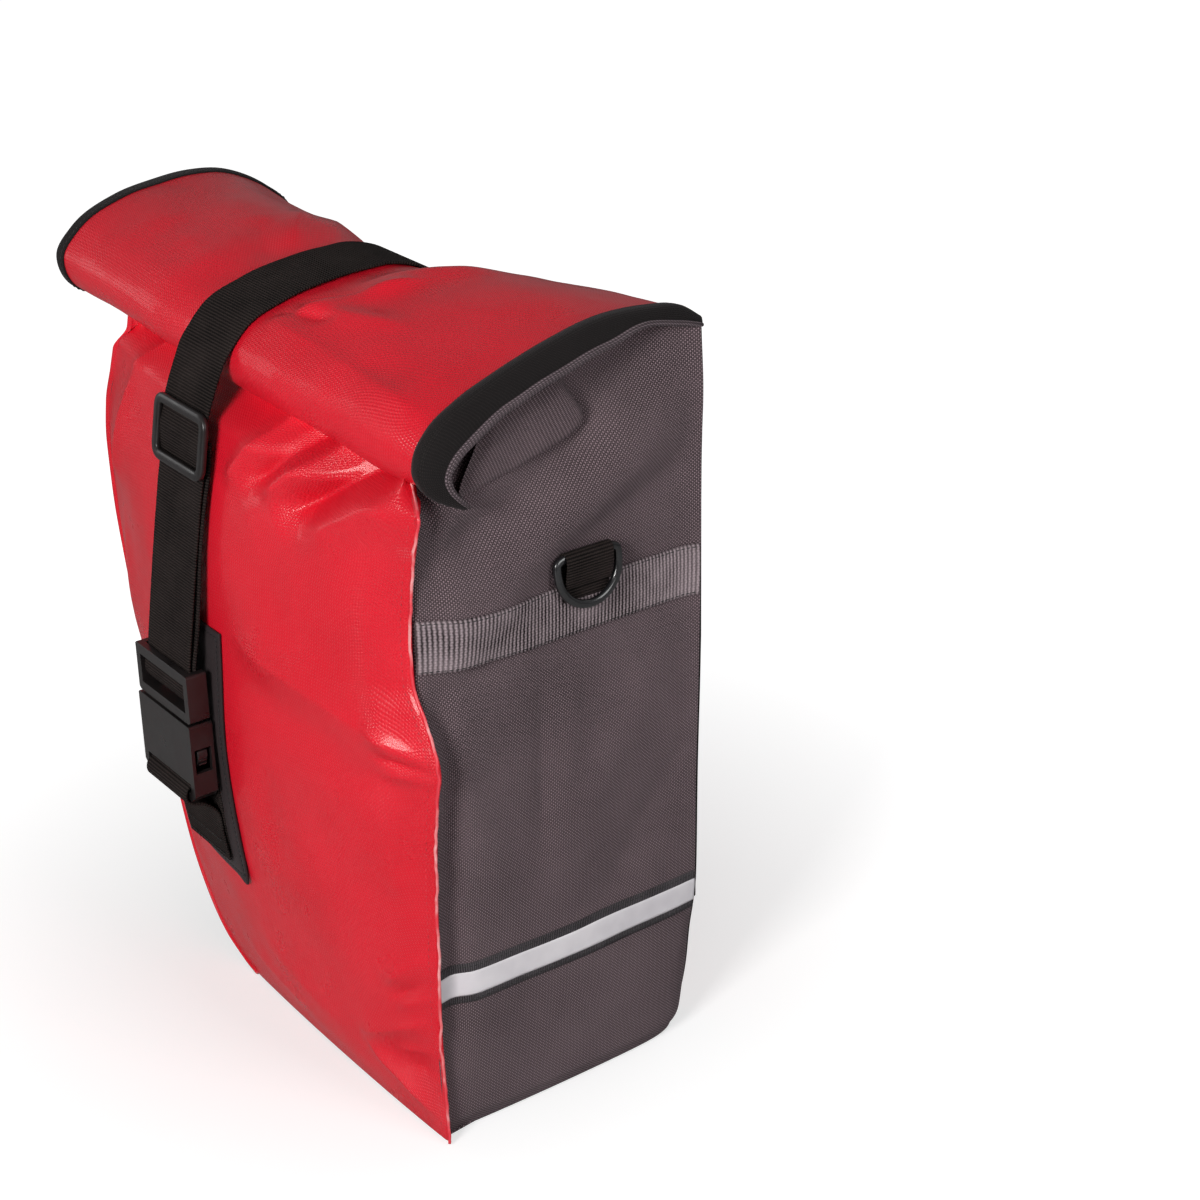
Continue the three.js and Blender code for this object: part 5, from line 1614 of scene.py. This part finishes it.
def make_lower_strap():
    """The strap near the base with its rivet, eyelet, adjuster, tail and hook."""
    strap_z, width = 100.0, 20
    x = np.linspace(-153, 181, 140)
    y = 89.2 - 0.8 * ease((x - 173) / 8) - 0.8 * ease((-146 - x) / 7)
    webbing("lower_strap", np.column_stack([x, y, np.full_like(x, strap_z)]), (0, 0, 1), width,
            thick=1.5)
    rivet_head("lower_strap_rivet", -118, strap_z, base_y=90.0, radius=6.0, height=2.6)
    # eyelet section: radius, height
    section = smooth_curve([(3.0, 0.0), (6.4, 0.0), (6.3, 1.0), (5.2, 1.7), (4.0, 1.7),
                            (3.1, 1.0)], 20, closed=True)
    points = revolve(section, 44, 96, 90.2, strap_z).transpose(1, 0, 2)
    ob = mesh_object("lower_strap_eyelet_ring", points.reshape(-1, 3),
                     ring_quads(44, 20, closed=True))
    dress(face_outward(ob), "steel", "lower_strap_eyelet", "bag")
    refine_cad("lower_adjuster", "bag", bevel=1.0, angle=25)
    # webbing over the adjuster's middle bar: x, y
    threaded = [(-81, 90.6), (-76, 91.5), (-72.5, 93.6), (-70, 96.2), (-66.5, 97.6),
                (-63, 97.8), (-59.5, 97.6), (-56, 96.2), (-53.5, 93.6), (-50, 91.5),
                (-45, 90.6)]
    ob = strap("lower_strap_threaded", [(a, b, strap_z) for a, b in threaded], (0, 0, 1),
               width=19.5, thick=1.4, step=0.8)
    dress(ob, "web", body="bag")
    # the loose tail narrows to a point
    share = np.linspace(0, 1, 60)
    path = np.column_stack([66 + 2.2 * np.sin(share * 3.0),
                            91.4 + 3.2 * np.sin(share * 2.6) ** 2, 88 - 52 * share])
    narrowing = np.column_stack([np.clip((1 - share) / 0.26, 0.04, 1), np.ones_like(share)])
    webbing("lower_strap_tail", path, (1, 0, 0), width, thick=1.5, scale=narrowing)
    for i, z in enumerate((85.5, 80.5)):
        sew_back("lower_strap_tail_stitches_%d" % i, level_line(58, 74, z, 14),
                 y=92.5 + 0.25 * i, seed=95 + i, pitch=3.0, length=2.3, radius=0.28)
    refine_cad("lower_hook", "anchor_hook", bevel=1.2, angle=22)


def make_boards():
    """Stiffening sheets inside: behind the back panel, on the base and in the roll."""
    low, high = ([1000 * value for value in corner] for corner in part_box("back_board"))
    x, share = np.meshgrid(np.linspace(low[0], high[0], 50), np.linspace(0, 1, 80),
                           indexing="ij")
    z = low[2] + (np.minimum(high[2], back_top(x) - 9) - low[2]) * share
    x = np.maximum(x, heel_back(np.maximum(z, 0.5)) + 5.0)
    y = high[1] - (HALF_DEPTH - back_y(x, z)) - 0.6 * ease((z - 360) / 20)
    ob = grid("back_board_sheet", np.stack([x, y, z], -1), flip=True, thick=high[1] - low[1])
    dress(ob, "board", "back_board", "bag")
    for node, body in (("base_board", "bag"), ("roll_stiffener", "roll")):
        refine_cad(node, body, bevel=0.6, angle=30, segments=2, look="board", suffix="_sheet")


# ------------------------------------------------------------------ stage, light and camera
def make_floor():
    """A wide pale sheet just under the bag, lit evenly to the camera away from it."""
    size, level = 6.0, -0.0012
    mesh = bpy.data.meshes.new("floor")
    corners = [(x * size, y * size, level) for x, y in ((-1, -1), (1, -1), (1, 1), (-1, 1))]
    mesh.from_pydata(corners, [], [(0, 1, 2, 3)])
    floor = link(bpy.data.objects.new("floor", mesh))
    shader = Shader("pale_floor")
    distance = shader.node("VectorMath", operation="LENGTH")
    shader.put(distance.inputs[0], shader.position)
    to_camera = shader.node("LightPath").outputs["Is Camera Ray"]
    glow = shader.remap(distance.outputs["Value"], span=(0.12, 0.50), out=(0.55, 0.95))
    floor.data.materials.append(shader.surface(
        Base_Color=(0.50, 0.50, 0.503), Roughness=0.8, Specular_IOR_Level=0.1,
        Emission_Color=(1.0, 1.0, 1.0), Emission_Strength=shader.times(to_camera, glow)))


def make_world():
    """Even white to the camera, a graded tent for light, a dim one for reflections."""
    world = bpy.data.worlds.new("studio")
    bpy.context.scene.world = world
    world.use_nodes = True
    nodes = NodeTree(world.node_tree)
    background = world.node_tree.nodes["Background"]
    rays = nodes.node("LightPath")
    direction = nodes.node("TexCoord")
    split = nodes.node("SeparateXYZ")
    nodes.put(split.inputs[0], direction.outputs["Generated"])
    # strength 0.40 from below to 0.06 from above
    tent = nodes.node("MapRange", interpolation_type="SMOOTHSTEP")
    for socket, value in zip(tent.inputs, (split.outputs[2], -0.25, 0.55, 0.40, 0.06)):
        nodes.put(socket, value)

    def choose(ray, otherwise, strength):
        mix = nodes.node("Mix", data_type="FLOAT")
        for i, value in ((0, rays.outputs[ray]), (2, otherwise), (3, strength)):
            nodes.put(mix.inputs[i], value)
        return mix.outputs[0]

    seen = choose("Is Camera Ray", tent.outputs[0], strength=1.0)
    nodes.put(background.inputs[1], choose("Is Glossy Ray", seen, strength=0.26))
    background.inputs[0].default_value = (1.0, 1.0, 1.0, 1)


def area_light(name, place, target, size, power, color=(1, 1, 1)):
    """A rectangular light at place, turned to target; metres and watts."""
    light = bpy.data.lights.new(name, "AREA")
    light.shape = "RECTANGLE"
    light.size, light.size_y = size
    light.energy = power
    light.color = color
    ob = link(bpy.data.objects.new(name, light))
    ob.location = Vector(place)
    aim = Vector(target) - Vector(place)
    ob.rotation_euler = aim.to_track_quat("-Z", "Y").to_euler()


def make_lights():
    area_light("key_softbox", place=(0.95, -1.8, 1.15), target=(0, -0.05, 0.25),
               size=(0.6, 0.6), power=40, color=(1, 0.985, 0.97))
    area_light("side_softbox", place=(2.1, 0.5, 1.1), target=(0.1, 0, 0.25),
               size=(0.9, 1.3), power=18)
    area_light("fill_softbox", place=(-2.0, -1.3, 0.7), target=(0, 0, 0.25),
               size=(0.5, 1.2), power=4)
    area_light("top_softbox", place=(-0.1, 1.5, 1.7), target=(0, 0, 0.42),
               size=(1.4, 0.7), power=3)


def make_camera():
    camera = bpy.data.cameras.new("camera")
    ob = link(bpy.data.objects.new("camera", camera))
    azimuth, elevation, roll = (math.radians(angle) for angle in (53.599, 25.523, -1.022))
    backward = Vector((math.sin(azimuth) * math.cos(elevation),
                       -math.cos(azimuth) * math.cos(elevation), math.sin(elevation)))
    level = Vector((math.cos(azimuth), math.sin(azimuth), 0))
    upright = backward.cross(level)
    right = math.cos(roll) * level + math.sin(roll) * upright
    up = -math.sin(roll) * level + math.cos(roll) * upright
    matrix = Matrix((right, up, backward)).transposed().to_4x4()
    matrix.translation = Vector((1.1396, -0.6822, 0.8667))
    ob.matrix_world = matrix
    camera.sensor_width = 36
    camera.lens = 75.147
    camera.clip_start = 0.05
    camera.clip_end = 50
    bpy.context.scene.camera = ob
    bpy.context.scene.view_settings.view_transform = "Standard"


make_front()
make_right_gusset()
make_left_gusset()
make_base()
make_back()
make_back_piping()
make_roll_cloth()
make_roll_heel_end()
make_roll_hem()
make_roll_straight_inside()
make_side_bands()
make_back_band()
make_d_rings()
make_closure_strap()
make_slider()
make_buckle()
make_patch()
make_buckle_loop()
make_back_strap()
make_carry_handle()
make_rail_hooks()
make_rail_straps()
make_lower_strap()
make_boards()
make_floor()
make_world()
make_lights()
make_camera()
